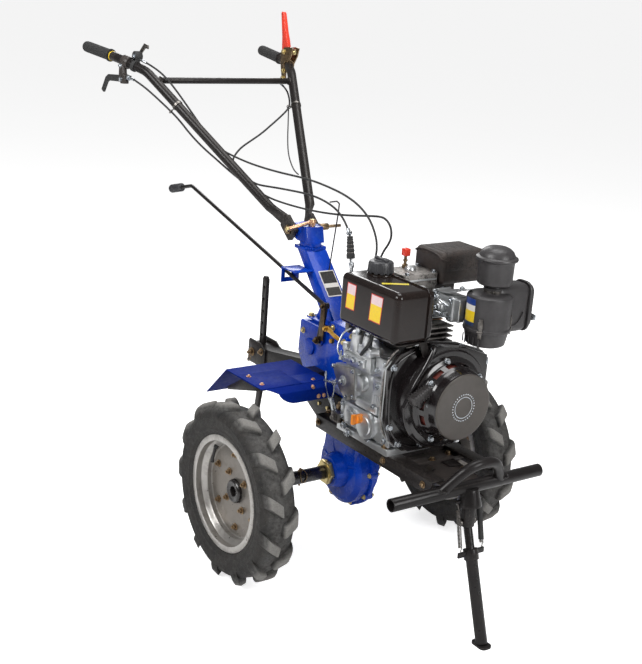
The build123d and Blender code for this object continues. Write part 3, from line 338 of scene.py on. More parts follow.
@dataclass(frozen=True)
class Cast(Finish):
    """Sand-cast or die-cast alloy with grain, painted shade in its corners, patches of grime and bright
    machined edges.
    """

    base: Tint
    # The grime colour, also laid on as painted shade in the hollows.
    grime_and_shade: Tint
    rough: float = 0.4
    grain: float = 0.00035

    def dress(self, graph: Graph) -> None:
        """Build the finish's nodes."""
        cloud = graph.cloud((26, 5, 0.65, 0.3), 0.3, 0.72)
        base = colour(self.base)[:3]
        pale = (*(min(1.0, value * 1.25) for value in base), 1.0)
        dull = (*(value * 0.72 for value in base), 1.0)
        skin = graph.mix(cloud, dull, pale)
        # Painted shade: the ambient-occlusion mask darkens hollows and corners toward the grime colour, in
        # noisy patches.
        hollow_shade = graph.spread(graph.hollows(0.026), 0.4, 0.92, 1.0, 0.0)
        darkening = graph.math("MULTIPLY", hollow_shade, graph.cloud((48, 4, 0.7), 0.2, 0.6, 0.55, 1.0))
        skin = graph.mix(darkening, skin, self.grime_and_shade)
        soot = graph.cloud((88, 5, 0.72, 0.6), 0.5, 0.6, 0.0, 0.8)
        skin = graph.mix(soot, skin, self.grime_and_shade)
        bright = graph.math("MULTIPLY", graph.edges(0.52, 0.6), 0.6)
        skin = graph.mix(bright, skin, pale)
        rough = graph.cloud((110, 4, 0.7), 0.25, 0.8, self.rough - 0.1, self.rough + 0.18)
        sand = graph.bump(graph.noise(700, 3, 0.6), self.grain, 0.55)
        lumps = graph.bump(graph.noise(60, 3, 0.55), 0.0018, 0.5, sand)
        graph.surface(Base_Color=skin, Roughness=rough, Normal=lumps, Metallic=0.88)


@dataclass(frozen=True)
class Plate(Finish):
    """Plated or bare machined metal, its tint drifting between two colours, with painted shade in its
    crevices.
    """

    base: Tint
    drift: Tint
    rough: float = 0.28
    metal: float = 0.95

    def dress(self, graph: Graph) -> None:
        """Build the finish's nodes."""
        skin = graph.mix(graph.cloud((75, 4, 0.6, 0.8), 0.32, 0.68), self.base, self.drift)
        # Painted shade: the ambient-occlusion mask darkens crevices toward near-black.
        hollow_shade = graph.spread(graph.hollows(0.008), 0.3, 0.8, 0.7, 0.0)
        skin = graph.mix(hollow_shade, skin, (0.02, 0.017, 0.014, 1.0))
        rough = graph.cloud((260, 3, 0.6), 0.3, 0.7, self.rough - 0.07, self.rough + 0.14)
        normal = graph.bump(graph.noise(900, 2, 0.5), 0.0001, 0.4)
        graph.surface(Base_Color=skin, Roughness=rough, Normal=normal, Metallic=self.metal)


@dataclass(frozen=True)
class Plastic(Finish):
    """Moulded plastic or rubber with a fine leather grain."""

    base: Tint
    shade: Tint
    rough: float = 0.45
    grain_scale: float = 900.0
    grain: float = 0.00012

    def dress(self, graph: Graph) -> None:
        """Build the finish's nodes."""
        skin = graph.mix(graph.cloud((35, 4, 0.6), 0.35, 0.7), self.base, self.shade)
        rough = graph.cloud((120, 3, 0.6), 0.3, 0.75, self.rough - 0.08, self.rough + 0.12)
        normal = graph.bump(graph.cells(self.grain_scale), self.grain, 0.6)
        graph.surface(Base_Color=skin, Roughness=rough, Normal=normal)


@dataclass(frozen=True)
class TyreRubber(Finish):
    """Dark rubber, with pale dust on the lugs' worn tops and specks on the side walls."""

    dusty_from: float = 0.247
    dusty_to: float = 0.2565

    def dress(self, graph: Graph) -> None:
        """Build the finish's nodes."""
        patch = graph.cloud((24, 5, 0.65, 0.5), 0.35, 0.7)
        rubber = graph.mix(patch, 0x1A1918, 0x2C2926)
        speck = graph.cloud((300, 3, 0.8), 0.62, 0.7, 0.0, 0.75)
        rubber = graph.mix(speck, rubber, 0x68625C)
        radius = graph.around_axle()
        tread = graph.spread(radius, 0.231, 0.2425, 0.0, 0.5)
        cloud = graph.cloud((65, 5, 0.75), 0.3, 0.62)
        rubber = graph.mix(graph.math("MULTIPLY", tread, cloud), rubber, 0x706F6D)
        top = graph.spread(radius, self.dusty_from, self.dusty_to)
        grit = graph.cloud((240, 4, 0.8), 0.25, 0.6, 0.45, 1.0)
        rubber = graph.mix(graph.math("MULTIPLY", top, grit), rubber, 0x7C7A76)
        rough = graph.cloud((90, 3, 0.6), 0.3, 0.7, 0.62, 0.85)
        fine = graph.bump(graph.noise(620, 3, 0.7), 0.0006, 0.9)
        coarse = graph.bump(graph.noise(110, 4, 0.6), 0.0016, 0.6, fine)
        graph.surface(Base_Color=rubber, Roughness=rough, Normal=coarse)


@dataclass(frozen=True)
class RimSteel(Finish):
    """Silver wheel paint over rolled steel, with painted shade darkening the dished disc, and dirty at the
    bead.
    """

    def dress(self, graph: Graph) -> None:
        """Build the finish's nodes."""
        radius = graph.around_axle()
        # Painted shade: the disc inside the rim band is darker, for the shade in the wheel's dish.
        disc = graph.spread(radius, 0.128, 0.136)
        skin = graph.mix(disc, 0x7C7771, 0xB0ADA9)
        darkening = graph.cloud((36, 5, 0.7, 0.6), 0.5, 0.75, 0.0, 0.55)
        skin = graph.mix(darkening, skin, 0x60574E)
        bead = graph.math("MULTIPLY", graph.spread(radius, 0.158, 0.1675),
                          graph.cloud((150, 4, 0.7), 0.35, 0.6))
        skin = graph.mix(graph.math("MULTIPLY", bead, 0.6), skin, 0x524C46)
        rough = graph.cloud((70, 4, 0.6), 0.3, 0.7, 0.26, 0.44)
        ripple = graph.bump(graph.noise(45, 2, 0.5), 0.0012, 0.35)
        graph.surface(Base_Color=skin, Roughness=rough, Normal=ripple, Metallic=0.72)


@dataclass(frozen=True)
class Label(Finish):
    """A blank printed sticker in two or three bands of colour, parted at given heights."""

    bands: tuple[Tint, ...]
    heights: tuple[float, ...]

    def dress(self, graph: Graph) -> None:
        """Build the finish's nodes."""
        height = graph.axis("Z")
        skin: Tint | Socket = self.bands[0]
        for band, level in zip(self.bands[1:], self.heights):
            above = graph.spread(height, (level - 0.2) * MM, (level + 0.2) * MM)
            skin = graph.mix(above, skin, band)
        fade = graph.cloud((160, 4, 0.7), 0.45, 0.8, 0.0, 0.22)
        skin = graph.mix(fade, skin, (0.25, 0.22, 0.18, 1.0))
        normal = graph.bump(graph.noise(90, 2, 0.5), 0.0002, 0.3)
        graph.surface(Base_Color=skin, Roughness=0.35, Normal=normal, Coat_Weight=0.2)


@dataclass(frozen=True)
class HeatPaint(Finish):
    """Matt heat paint, with the pattern of pressed holes on a shield where asked, the holes darkened with
    painted shade.
    """

    pressed: bool = False

    def dress(self, graph: Graph) -> None:
        """Build the finish's nodes."""
        skin = graph.mix(graph.cloud((28, 5, 0.7), 0.35, 0.7), 0x2B2624, 0x3E342F)
        if self.pressed:
            # Painted shade: the pressed holes are darkened to near-black.
            holes = graph.spread(graph.cells(230), 0.22, 0.4)
            skin = graph.mix(holes, 0x0E0C0C, skin)
            normal = graph.bump(holes, 0.0016, 0.9)
        else:
            normal = graph.bump(graph.noise(500, 3, 0.7), 0.0003, 0.5)
        rough = graph.cloud((90, 3, 0.6), 0.3, 0.7, 0.5, 0.72)
        graph.surface(Base_Color=skin, Roughness=rough, Normal=normal)


BLACK_CHIP = 0x605A54
BLUE = Paint("royal_blue", Slot.BLUE, 0x0440B6, 0x032A8C, 0x3662BA, 0.24, 0.2, gleam=0.22)
BLUE_DECK = Paint("deck_blue", Slot.BLUE, 0x062272, 0x031D76, 0x324C96, 0.42, 0.0, gleam=0.02)
FRAME_BLACK = Paint("frame_black", Slot.BLACK, 0x221F1F, 0x181616, BLACK_CHIP, 0.32, 0.08, gleam=0.2)
TUBE_BLACK = Paint("tube_black", Slot.BLACK, 0x282524, 0x1E1B1B, BLACK_CHIP, 0.32, 0.08, gleam=0.2)
AXLE_BLACK = Paint("axle_black", Slot.BLACK, 0x221F1F, 0x181616, BLACK_CHIP, 0.24, 0.4)
GLOSS = Paint("engine_gloss", Slot.GLOSS, 0x1A1617, 0x120F10, BLACK_CHIP, 0.12, 0.6, 0.00006, 0.2)
TANK_GLOSS = Paint("tank_gloss", Slot.GLOSS, 0x221A17, 0x191312, BLACK_CHIP, 0.1, 0.32, 0.00005, 0.12,
                   gleam=0.22)
DISC_GREY = Paint("disc_grey", Slot.GLOSS, 0x4C4743, 0x403C38, BLACK_CHIP, 0.42, 0.15, 0.0001, 0.2)
APRON_BROWN = Paint("apron_grey", Slot.BLACK, 0x423C39, 0x342F2D, BLACK_CHIP, 0.4, 0.1)
CAST_ALLOY = Cast("cast_alloy", Slot.CAST, 0xBEBAB4, 0x181512)
HEAD_ALLOY = Cast("head_alloy", Slot.CAST, 0x96928E, 0x1A1715, 0.46)
BRONZE = Plate("bronze_steel", Slot.ZINC, 0x705C42, 0x463A2E, 0.34)
GRIP_GREY = Plastic("pull_grip", Slot.PLASTIC, 0x383535, 0x2A2828, 0.34)
GOLD_ZINC = Plate("gold_zinc", Slot.ZINC, 0xD8AA4E, 0xBE8C3C, 0.3)
GOVERNOR_STEEL = Plate("cover_steel", Slot.STEEL, 0xB0ACA8, 0x96928F, 0.34)
BRIGHT_ZINC = Plate("bright_zinc", Slot.STEEL, 0xCED0D2, 0xA8B0B8, 0.22)
YELLOW_ZINC = Plate("yellow_zinc", Slot.ZINC, 0xC0A868, 0x969260, 0.28)
BRASS = Plate("warm_zinc", Slot.ZINC, 0xA48C6C, 0x7A6650, 0.3)
COPPER = Plate("copper_plate", Slot.COPPER, 0xDEA884, 0xBE765C, 0.24)
RAW_STEEL = Plate("raw_steel", Slot.STEEL, 0x8A8682, 0x6A6662, 0.36)
RED = Plastic("red_plastic", Slot.RED, 0xE43E2C, 0xCE2E22, 0.38, 700.0, 0.00006)
ORANGE = Plastic("orange_plastic", Slot.ORANGE, 0xEE6E1A, 0xD65812, 0.36, 700.0, 0.00006)
BLACK_PLASTIC = Plastic("black_plastic", Slot.PLASTIC, 0x2C2B2B, 0x222121, 0.44)
CLEANER_PLASTIC = Plastic("cleaner_plastic", Slot.PLASTIC, 0x3E3C3D, 0x343233, 0.4, 1400.0, 0.00005)
CAP_PLASTIC = Plastic("cap_plastic", Slot.PLASTIC, 0x424245, 0x343437, 0.36)
SHEATH = Plastic("cable_sheath", Slot.SHEATH, 0x1E1D1D, 0x282626, 0.42, 1200.0, 0.00004)
GRIP = Plastic("grip_rubber", Slot.GRIP, 0x1A1A19, 0x242322, 0.5, 1000.0, 0.0002)
TYRE = TyreRubber("tyre_rubber", Slot.TYRE)
RIM = RimSteel("rim_silver", Slot.RIM)
HEAT = HeatPaint("heat_black", Slot.HEAT)
SHIELD = HeatPaint("heat_shield", Slot.HEAT, True)
MESH_RED = Plastic("screen_brown", Slot.PLASTIC, 0x68261A, 0x3C140E, 0.5, 320.0, 0.0012)
WHITE = 0xE2DED8
LABEL_YELLOW = 0xF2CE1E
LABEL_RED = 0xCE3A34
TANK_LABEL = Label("tank_label", Slot.PLASTIC, (LABEL_YELLOW, 0xE8CED0), (862.0,))
CLEANER_LABEL = Label("cleaner_label", Slot.PLASTIC,
                      (0x183260, LABEL_YELLOW, WHITE, 0x183A84), (812.0, 842.0, 858.0))
STRIP_LABEL = Label("strip_label", Slot.PLASTIC, (0xE2CE2C,), ())
COLUMN_LABEL = Label("column_label", Slot.PLASTIC, (0x3A3836, WHITE, 0x262424), (773.0, 783.0))
PLATE_RIM = Label("plate_rim", Slot.PLASTIC, (WHITE,), ())
RED_RIM = Label("red_rim", Slot.PLASTIC, (LABEL_RED,), ())
TAG_YELLOW = Label("tag_yellow", Slot.PLASTIC, (LABEL_YELLOW,), ())


def aimed(start: Point, end: Point) -> Matrix:
    """The turn and shift that lay a shape's Z axis from one point to another, centred between them."""
    low, high = Vector(start), Vector(end)
    return Matrix.Translation((low + high) / 2) @ (high - low).to_track_quat("Z", "Y").to_matrix().to_4x4()


def rounded_outline(low: Point, high: Point, radius: float, steps: int = 6) -> list[Point]:
    """The corners of a rectangle with rounded corners, in order round it."""
    outline = []
    middles = ((high[0] - radius, high[1] - radius, 0), (low[0] + radius, high[1] - radius, 1),
               (low[0] + radius, low[1] + radius, 2), (high[0] - radius, low[1] + radius, 3))
    for across, up, quarter in middles:
        for step in range(steps + 1):
            turn = (quarter + step / steps) * TURN / 4
            outline.append((across + radius * math.cos(turn), up + radius * math.sin(turn)))
    return outline


def sharp_edges(mesh: bmesh.types.BMesh, least_deg: float) -> list[bmesh.types.BMEdge]:
    """The edges whose two faces meet at more than an angle."""
    least = math.radians(least_deg)
    return [edge for edge in mesh.edges if len(edge.link_faces) == 2 and edge.calc_face_angle(0) > least]


def beveled(mesh: bmesh.types.BMesh, edges: Sequence[bmesh.types.BMEdge], size: float, steps: int) -> None:
    """Round off the given edges."""
    bmesh.ops.bevel(mesh, geom=edges, offset=size, offset_type="OFFSET", segments=steps, profile=0.5,
                    affect="EDGES", clamp_overlap=True, material=-1)


def rounded(mesh: bmesh.types.BMesh, size: float, steps: int = 2, least_deg: float = 28.0) -> None:
    """Round off every sharp edge of a mesh.

    Args:
        mesh: The mesh, changed in place.
        size: How far each rounding reaches, in the mesh's own units.
        steps: Segments across a rounding.
        least_deg: Edges flatter than this stay.
    """
    if size > 0:
        beveled(mesh, sharp_edges(mesh, least_deg), size, steps)


def extruded(mesh: bmesh.types.BMesh, outline: Sequence[Point], push: Point) -> None:
    """Push a flat outline into a plate, its faces outwards."""
    face = mesh.faces.new([mesh.verts.new(corner) for corner in outline])
    grown = bmesh.ops.extrude_face_region(mesh, geom=[face])["geom"]
    moved = [item for item in grown if isinstance(item, bmesh.types.BMVert)]
    bmesh.ops.translate(mesh, vec=push, verts=moved)
    bmesh.ops.recalc_face_normals(mesh, faces=mesh.faces[:])


class Shape:
    """One piece in the making, in millimetres from its own origin."""

    def __init__(self, name: str, origin: Point = (0, 0, 0)) -> None:
        """Start an empty piece.

        Args:
            name: The finished piece's name.
            origin: What it is measured from, itself measured from below the axle.
        """
        self.name, self.origin = name, origin
        self.mesh = bmesh.new()

    def take(self, part: bmesh.types.BMesh, outward: bool = True) -> Shape:
        """Add a made part, with its faces turned outwards, and free it."""
        if outward:
            bmesh.ops.recalc_face_normals(part, faces=part.faces[:])
        carrier = bpy.data.meshes.new("carrier")
        part.to_mesh(carrier)
        self.mesh.from_mesh(carrier)
        bpy.data.meshes.remove(carrier)
        part.free()
        return self

    def box(self, x: Point, y: Point, z: Point, edge: float = 1.0, steps: int = 2,
            turned: Matrix | None = None) -> Shape:
        """A block between two values on each axis, its edges rounded, turned about its middle if asked."""
        part = bmesh.new()
        size = Matrix.Diagonal((x[1] - x[0], y[1] - y[0], z[1] - z[0], 1))
        middle = Matrix.Translation(((x[0] + x[1]) / 2, (y[0] + y[1]) / 2, (z[0] + z[1]) / 2))
        bmesh.ops.create_cube(part, size=1.0, matrix=size)
        rounded(part, edge, steps)
        bmesh.ops.transform(part, matrix=middle @ (turned or Matrix.Identity(4)), verts=part.verts)
        return self.take(part)

    def boxes(self, rows: Iterable[Sequence[float]], steps: int = 2) -> None:
        """Blocks from rows of two values on X, on Y and on Z and the rounding of their edges."""
        for *ends, edge in rows:
            self.box(ends[:2], ends[2:4], ends[4:], edge, steps)

    def bar(self, start: Point, end: Point, radius: float, end_radius: float | None = None,
            sides: int = 28, edge: float = 0.5) -> Shape:
        """A round or many-sided bar between two points."""
        part = bmesh.new()
        length = (Vector(end) - Vector(start)).length
        bmesh.ops.create_cone(part, cap_ends=True, cap_tris=False, segments=sides, radius1=radius,
                              radius2=radius if end_radius is None else end_radius, depth=length)
        rounded(part, edge, 2, 40.0)
        bmesh.ops.transform(part, matrix=aimed(start, end), verts=part.verts)
        return self.take(part)

    def bars(self, axis: Axis, rows: Iterable[Sequence[float]], **looks: float) -> None:
        """Bars along one axis, from rows of the other two values, both ends and the radius."""
        for first, second, near, far, radius in rows:
            self.bar(axis.spot(near, (first, second)), axis.spot(far, (first, second)), radius, **looks)

    def turned(self, profile: Profile, start: Point, way: Point, steps: int = 64, angle: float = TURN,
               first: float = 0.0) -> Shape:
        """A turned piece from (radius, distance) points about a line from start.

        Args:
            profile: Radius and distance along the axis, in order round the section.
            start: Where the distance is nought.
            way: The direction that the line runs in.
            steps: Facets round the turn.
            angle: How far it turns.
            first: The angle it starts from.

        Returns:
            The shape itself.
        """
        part = bmesh.new()
        corners = [part.verts.new((radius, 0.0, reach)) for radius, reach in profile]
        lines = [part.edges.new(pair) for pair in zip(corners, corners[1:] + corners[:1])]
        if first:
            bmesh.ops.rotate(part, verts=part.verts, cent=(0, 0, 0), matrix=Matrix.Rotation(first, 3, "Z"))
        whole = abs(angle - TURN) < 1e-6
        bmesh.ops.spin(part, geom=corners + lines, cent=(0, 0, 0), axis=(0, 0, 1), dvec=(0, 0, 0),
                       angle=angle, steps=steps, use_merge=whole, use_duplicate=False)
        bmesh.ops.remove_doubles(part, verts=part.verts, dist=1e-4)
        if not whole:
            bmesh.ops.holes_fill(part, edges=part.edges[:], sides=0)
        lay = Matrix.Translation(Vector(start)) @ Vector(way).to_track_quat("Z", "Y").to_matrix().to_4x4()
        bmesh.ops.transform(part, matrix=lay, verts=part.verts)
        return self.take(part)

    def slab(self, outline: Sequence[Point], push: Point, edge: float = 0.6, steps: int = 2) -> Shape:
        """A flat outline pushed into a plate, its edges rounded."""
        part = bmesh.new()
        extruded(part, outline, push)
        rounded(part, edge, steps)
        return self.take(part)

    def plate(self, axis: Axis, level: float, outline: Profile, depth: float, edge: float = 0.6,
              steps: int = 2) -> Shape:
        """A plate square to one axis, from its level on that axis to a depth further along it."""
        return self.slab([axis.spot(level, corner) for corner in outline], axis.spot(depth), edge, steps)

    def bolt(self, seat: Point, outward: Point, across: float = 12.0, head: float = 6.0,
             washer: float = 1.6, stud: float = 0.0, spin: float = 0.3) -> Shape:
        """A hexagon head on its washer, with the end of its stud where one shows.

        Args:
            seat: Where it sits on the surface.
            outward: The direction that it points out.
            across: Its width across the flats.
            head: Its height.
            washer: The washer's thickness.
            stud: How far the thread stands past the nut.
            spin: How far the hexagon is turned.

        Returns:
            The shape itself.
        """
        base, way = Vector(seat), Vector(outward).normalized()
        lay = (way.to_track_quat("Z", "Y").to_matrix() @ Matrix.Rotation(spin, 3, "Z")).to_4x4()
        if washer > 0:
            self.bar(base, base + way * washer, across * 0.86, sides=20, edge=0.3)
        part = bmesh.new()
        bmesh.ops.create_cone(part, cap_ends=True, cap_tris=False, segments=6, radius1=across * 0.577,
                              radius2=across * 0.577, depth=head)
        top = [face for face in part.faces if face.normal.z > 0.9]
        bmesh.ops.inset_region(part, faces=top, thickness=across * 0.09, depth=head * 0.1)
        rounded(part, across * 0.03, 1, 50.0)
        bmesh.ops.transform(part, matrix=Matrix.Translation(base + way * (washer + head / 2)) @ lay,
                            verts=part.verts)
        self.take(part)
        if stud > 0:
            tip = base + way * (washer + head + stud)
            self.bar(base + way * (washer + head - 0.5), tip, across * 0.3, sides=16, edge=0.6)
        return self

    def bolts(self, seats: Iterable[Point], outward: Point, **sizes: float) -> Shape:
        """A row of the same bolt, each turned a little differently."""
        for number, seat in enumerate(seats):
            self.bolt(seat, outward, spin=0.3 + number * 0.7, **sizes)
        return self

    def wire(self, route: Sequence[Point], radius: float, sides: int = 6, order: int = 3,
             closed: bool = False) -> Shape:
        """A bent wire or pipe along a smooth line through the given control points."""
        made = tube_mesh(self.name + "_line", [Vector(spot) for spot in route], radius, order, sides, closed)
        part = bmesh.new()
        part.from_mesh(made)
        bpy.data.meshes.remove(made)
        return self.take(part)

    def placed(self) -> bmesh.types.BMesh:
        """The mesh from below the axle, in the frame's metres."""
        x, y, z = self.origin
        metres = Matrix.Diagonal((MM, MM, MM, 1)) @ Matrix.Translation((x + AXLE_AHEAD, y, z))
        bmesh.ops.transform(self.mesh, matrix=metres, verts=self.mesh.verts)
        return self.mesh

    def piece(self, finish: Finish, replaces: Sequence[str] = (), body: Body = Body.CHASSIS,
              smooth_deg: float = SHARP_DEG) -> bpy.types.Object:
        """Finish the piece: metres, shading, material and the body it rides on.

        Args:
            finish: What it is coated with or made of.
            replaces: CAD nodes that it stands for.
            body: The CAD body that carries it.
            smooth_deg: Edges sharper than this stay crisp.

        Returns:
            The finished object.
        """
        return settled(self.name, self.placed(), body, finish, replaces, smooth_deg)


def settled(name: str, mesh: bmesh.types.BMesh, body: Body | None, finish: Finish,
            replaces: Sequence[str] = (), smooth_deg: float = SHARP_DEG) -> bpy.types.Object:
    """Turn a mesh that is in metres into a dressed piece on its body.

    Args:
        name: The piece's name.
        mesh: The finished mesh, freed here.
        body: The body it rides on, or None to leave it on no body.
        finish: Its finish.
        replaces: CAD nodes that it stands for.
        smooth_deg: Edges sharper than this stay crisp.

    Returns:
        The piece.
    """
    crisp = math.radians(smooth_deg)
    for face in mesh.faces:
        face.smooth = True
    for edge in mesh.edges:
        edge.smooth = len(edge.link_faces) == 2 and edge.calc_face_angle(0) < crisp
    data = bpy.data.meshes.new(name)
    mesh.to_mesh(data)
    mesh.free()
    data.materials.append(finish.material())
    made = bpy.data.objects.new(name, data)
    bpy.context.scene.collection.objects.link(made)
    if body is not None:
        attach(made, body.value)
    if replaces:
        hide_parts(*replaces)
    LOG.info("piece %s: %d faces", name, len(data.polygons))
    return made


def tube_mesh(name: str, route: Sequence[Vector], radius: float, order: int = 3, sides: int = 4,
              closed: bool = False) -> bpy.types.Mesh:
    """A round tube along one smooth NURBS line, as a mesh.

    Args:
        name: A name for the line.
        route: The line's control points.
        radius: The tube's radius, in the route's own units.
        order: The spline's order.
        sides: The bevel's resolution.
        closed: Whether the line joins up with itself.

    Returns:
        The tube's mesh, closed at its ends.
    """
    line = bpy.data.curves.new(name, "CURVE")
    line.dimensions = "3D"
    line.bevel_depth = radius
    line.bevel_resolution = sides
    line.use_fill_caps = not closed
    line.resolution_u = 8
    spline = line.splines.new("NURBS")
    spline.points.add(len(route) - 1)
    for point, spot in zip(spline.points, route):
        point.co = (*spot, 1.0)
    spline.order_u = order
    spline.use_endpoint_u = not closed
    spline.use_cyclic_u = closed
    spline.resolution_u = 8
    holder = bpy.data.objects.new(name, line)
    bpy.context.scene.collection.objects.link(holder)
    bpy.context.view_layer.update()
    made = bpy.data.meshes.new_from_object(holder.evaluated_get(bpy.context.evaluated_depsgraph_get()))
    bpy.data.objects.remove(holder)
    bpy.data.curves.remove(line)
    return made


def from_cad(node: str) -> bmesh.types.BMesh:
    """A CAD node's mesh as joined faces, with its flat faces made whole."""
    mesh = bmesh.new()
    mesh.from_mesh(frame["nodes"][node].data)
    bmesh.ops.remove_doubles(mesh, verts=mesh.verts, dist=2e-6)
    bmesh.ops.dissolve_limit(mesh, angle_limit=math.radians(0.4), verts=mesh.verts[:], edges=mesh.edges[:])
    return mesh


def refined(node: str, finish: Finish, edge: float = 1.0, steps: int = 2,
            change: Callable[[bmesh.types.BMesh], None] | None = None) -> bpy.types.Object:
    """A CAD node's own form with its hard edges rounded and its surface dressed.

    Args:
        node: The CAD node that it stands for.
        finish: Its finish.
        edge: How far its edges are rounded, in millimetres.
        steps: Segments across a rounding.
        change: What else is done to its mesh, in metres in the row frame, before the rounding.

    Returns:
        The piece.
    """
    mesh = from_cad(node)
    if change is not None:
        change(mesh)
    if edge > 0:
        rounded(mesh, edge * MM, steps)
    body = Body(frame["nodes"][node]["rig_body"])
    return settled(f"{node}_form", mesh, body, finish, [node])


@dataclass
class Studio:
    """The camera at the photograph's place, a pale floor and soft lights."""

    lens: float = 65.398
    eye: Point = (2.87965, -2.037, 1.7)
    azimuth: float = 54.19
    elevation: float = 17.19
    roll: float = 4.29
    floor_half: float = 160.0
    room_light: float = 0.2
    floor_glow: float = 0.72

    def build(self) -> None:
        """Make the camera, the floor and the lights."""
        self.add_camera()
        self.add_floor()
        self.add_sky()
        self.add_softbox("key", (0.6, -3.4, 3.2), (0.1, 0.0, 0.7), 2.4, 1.6, 120)
        self.add_softbox("front", (4.2, 0.9, 2.3), (0.2, 0.0, 0.7), 1.4, 2.2, 85)
        self.add_softbox("top", (0.1, 0.5, 4.2), (0.1, 0.0, 0.6), 2.4, 2.4, 85)
        self.add_softbox("rear", (-3.4, 1.8, 2.8), (0.0, 0.0, 0.8), 1.6, 1.6, 45)

    def add_camera(self) -> None:
        """Aim the camera as the photograph was taken."""
        azimuth, elevation = math.radians(self.azimuth), math.radians(self.elevation)
        back = Vector((math.sin(azimuth) * math.cos(elevation), -math.cos(azimuth) * math.cos(elevation),
                       math.sin(elevation)))
        side = Vector((math.cos(azimuth), math.sin(azimuth), 0.0))
        roll = Matrix.Rotation(math.radians(self.roll), 3, "Z")
        turn = Matrix((side, back.cross(side), back)).transposed() @ roll
        data = bpy.data.cameras.new("camera")
        data.lens = self.lens
        data.sensor_width = 36.0
        data.clip_end = 400.0
        camera = bpy.data.objects.new("camera", data)
        camera.matrix_world = Matrix.Translation(self.eye) @ turn.to_4x4()
        bpy.context.scene.collection.objects.link(camera)
        bpy.context.scene.camera = camera

    def add_floor(self) -> None:
        """Lay a wide pale floor."""
        mesh = bmesh.new()
        bmesh.ops.create_grid(mesh, x_segments=1, y_segments=1, size=self.floor_half)
        data = bpy.data.meshes.new("floor")
        mesh.to_mesh(data)
        mesh.free()
        graph = Graph("floor_white")
        pale = graph.mix(graph.noise(0.8, 2), (0.93, 0.93, 0.93, 1.0), (0.9, 0.9, 0.9, 1.0))
        seen = graph.add("ShaderNodeLightPath").outputs["Is Camera Ray"]
        graph.surface(Base_Color=pale, Roughness=0.8, Specular_IOR_Level=0.1,
                      Emission_Color=(1.0, 1.0, 1.0, 1.0),
                      Emission_Strength=graph.math("MULTIPLY", seen, self.floor_glow))
        data.materials.append(graph.material)
        floor = bpy.data.objects.new("floor", data)
        bpy.context.scene.collection.objects.link(floor)

    def add_sky(self) -> None:
        """Light everything evenly from a white room."""
        world = bpy.data.worlds.new("room")
        world.use_nodes = True
        background = world.node_tree.nodes["Background"]
        background.inputs["Color"].default_value = (1.0, 1.0, 1.0, 1.0)
        seen = world.node_tree.nodes.new("ShaderNodeLightPath").outputs["Is Camera Ray"]
        level = world.node_tree.nodes.new("ShaderNodeMapRange")
        level.inputs["To Min"].default_value = self.room_light
        level.inputs["To Max"].default_value = 1.0
        world.node_tree.links.new(seen, level.inputs["Value"])
        world.node_tree.links.new(level.outputs["Result"], background.inputs["Strength"])
        scene = bpy.context.scene
        scene.world = world
        scene.view_settings.view_transform = "Standard"
        scene.view_settings.look = "None"

    def add_softbox(self, name: str, eye: Point, target: Point, width: float, height: float,
                    power: float) -> None:
        """Hang one rectangular light, aimed at a point."""
        data = bpy.data.lights.new(name, "AREA")
        data.shape = "RECTANGLE"
        data.size, data.size_y = width, height
        data.energy = power
        light = bpy.data.objects.new(name, data)
        aim = (Vector(target) - Vector(eye)).to_track_quat("-Z", "Y")
        light.matrix_world = Matrix.Translation(eye) @ aim.to_matrix().to_4x4()
        bpy.context.scene.collection.objects.link(light)


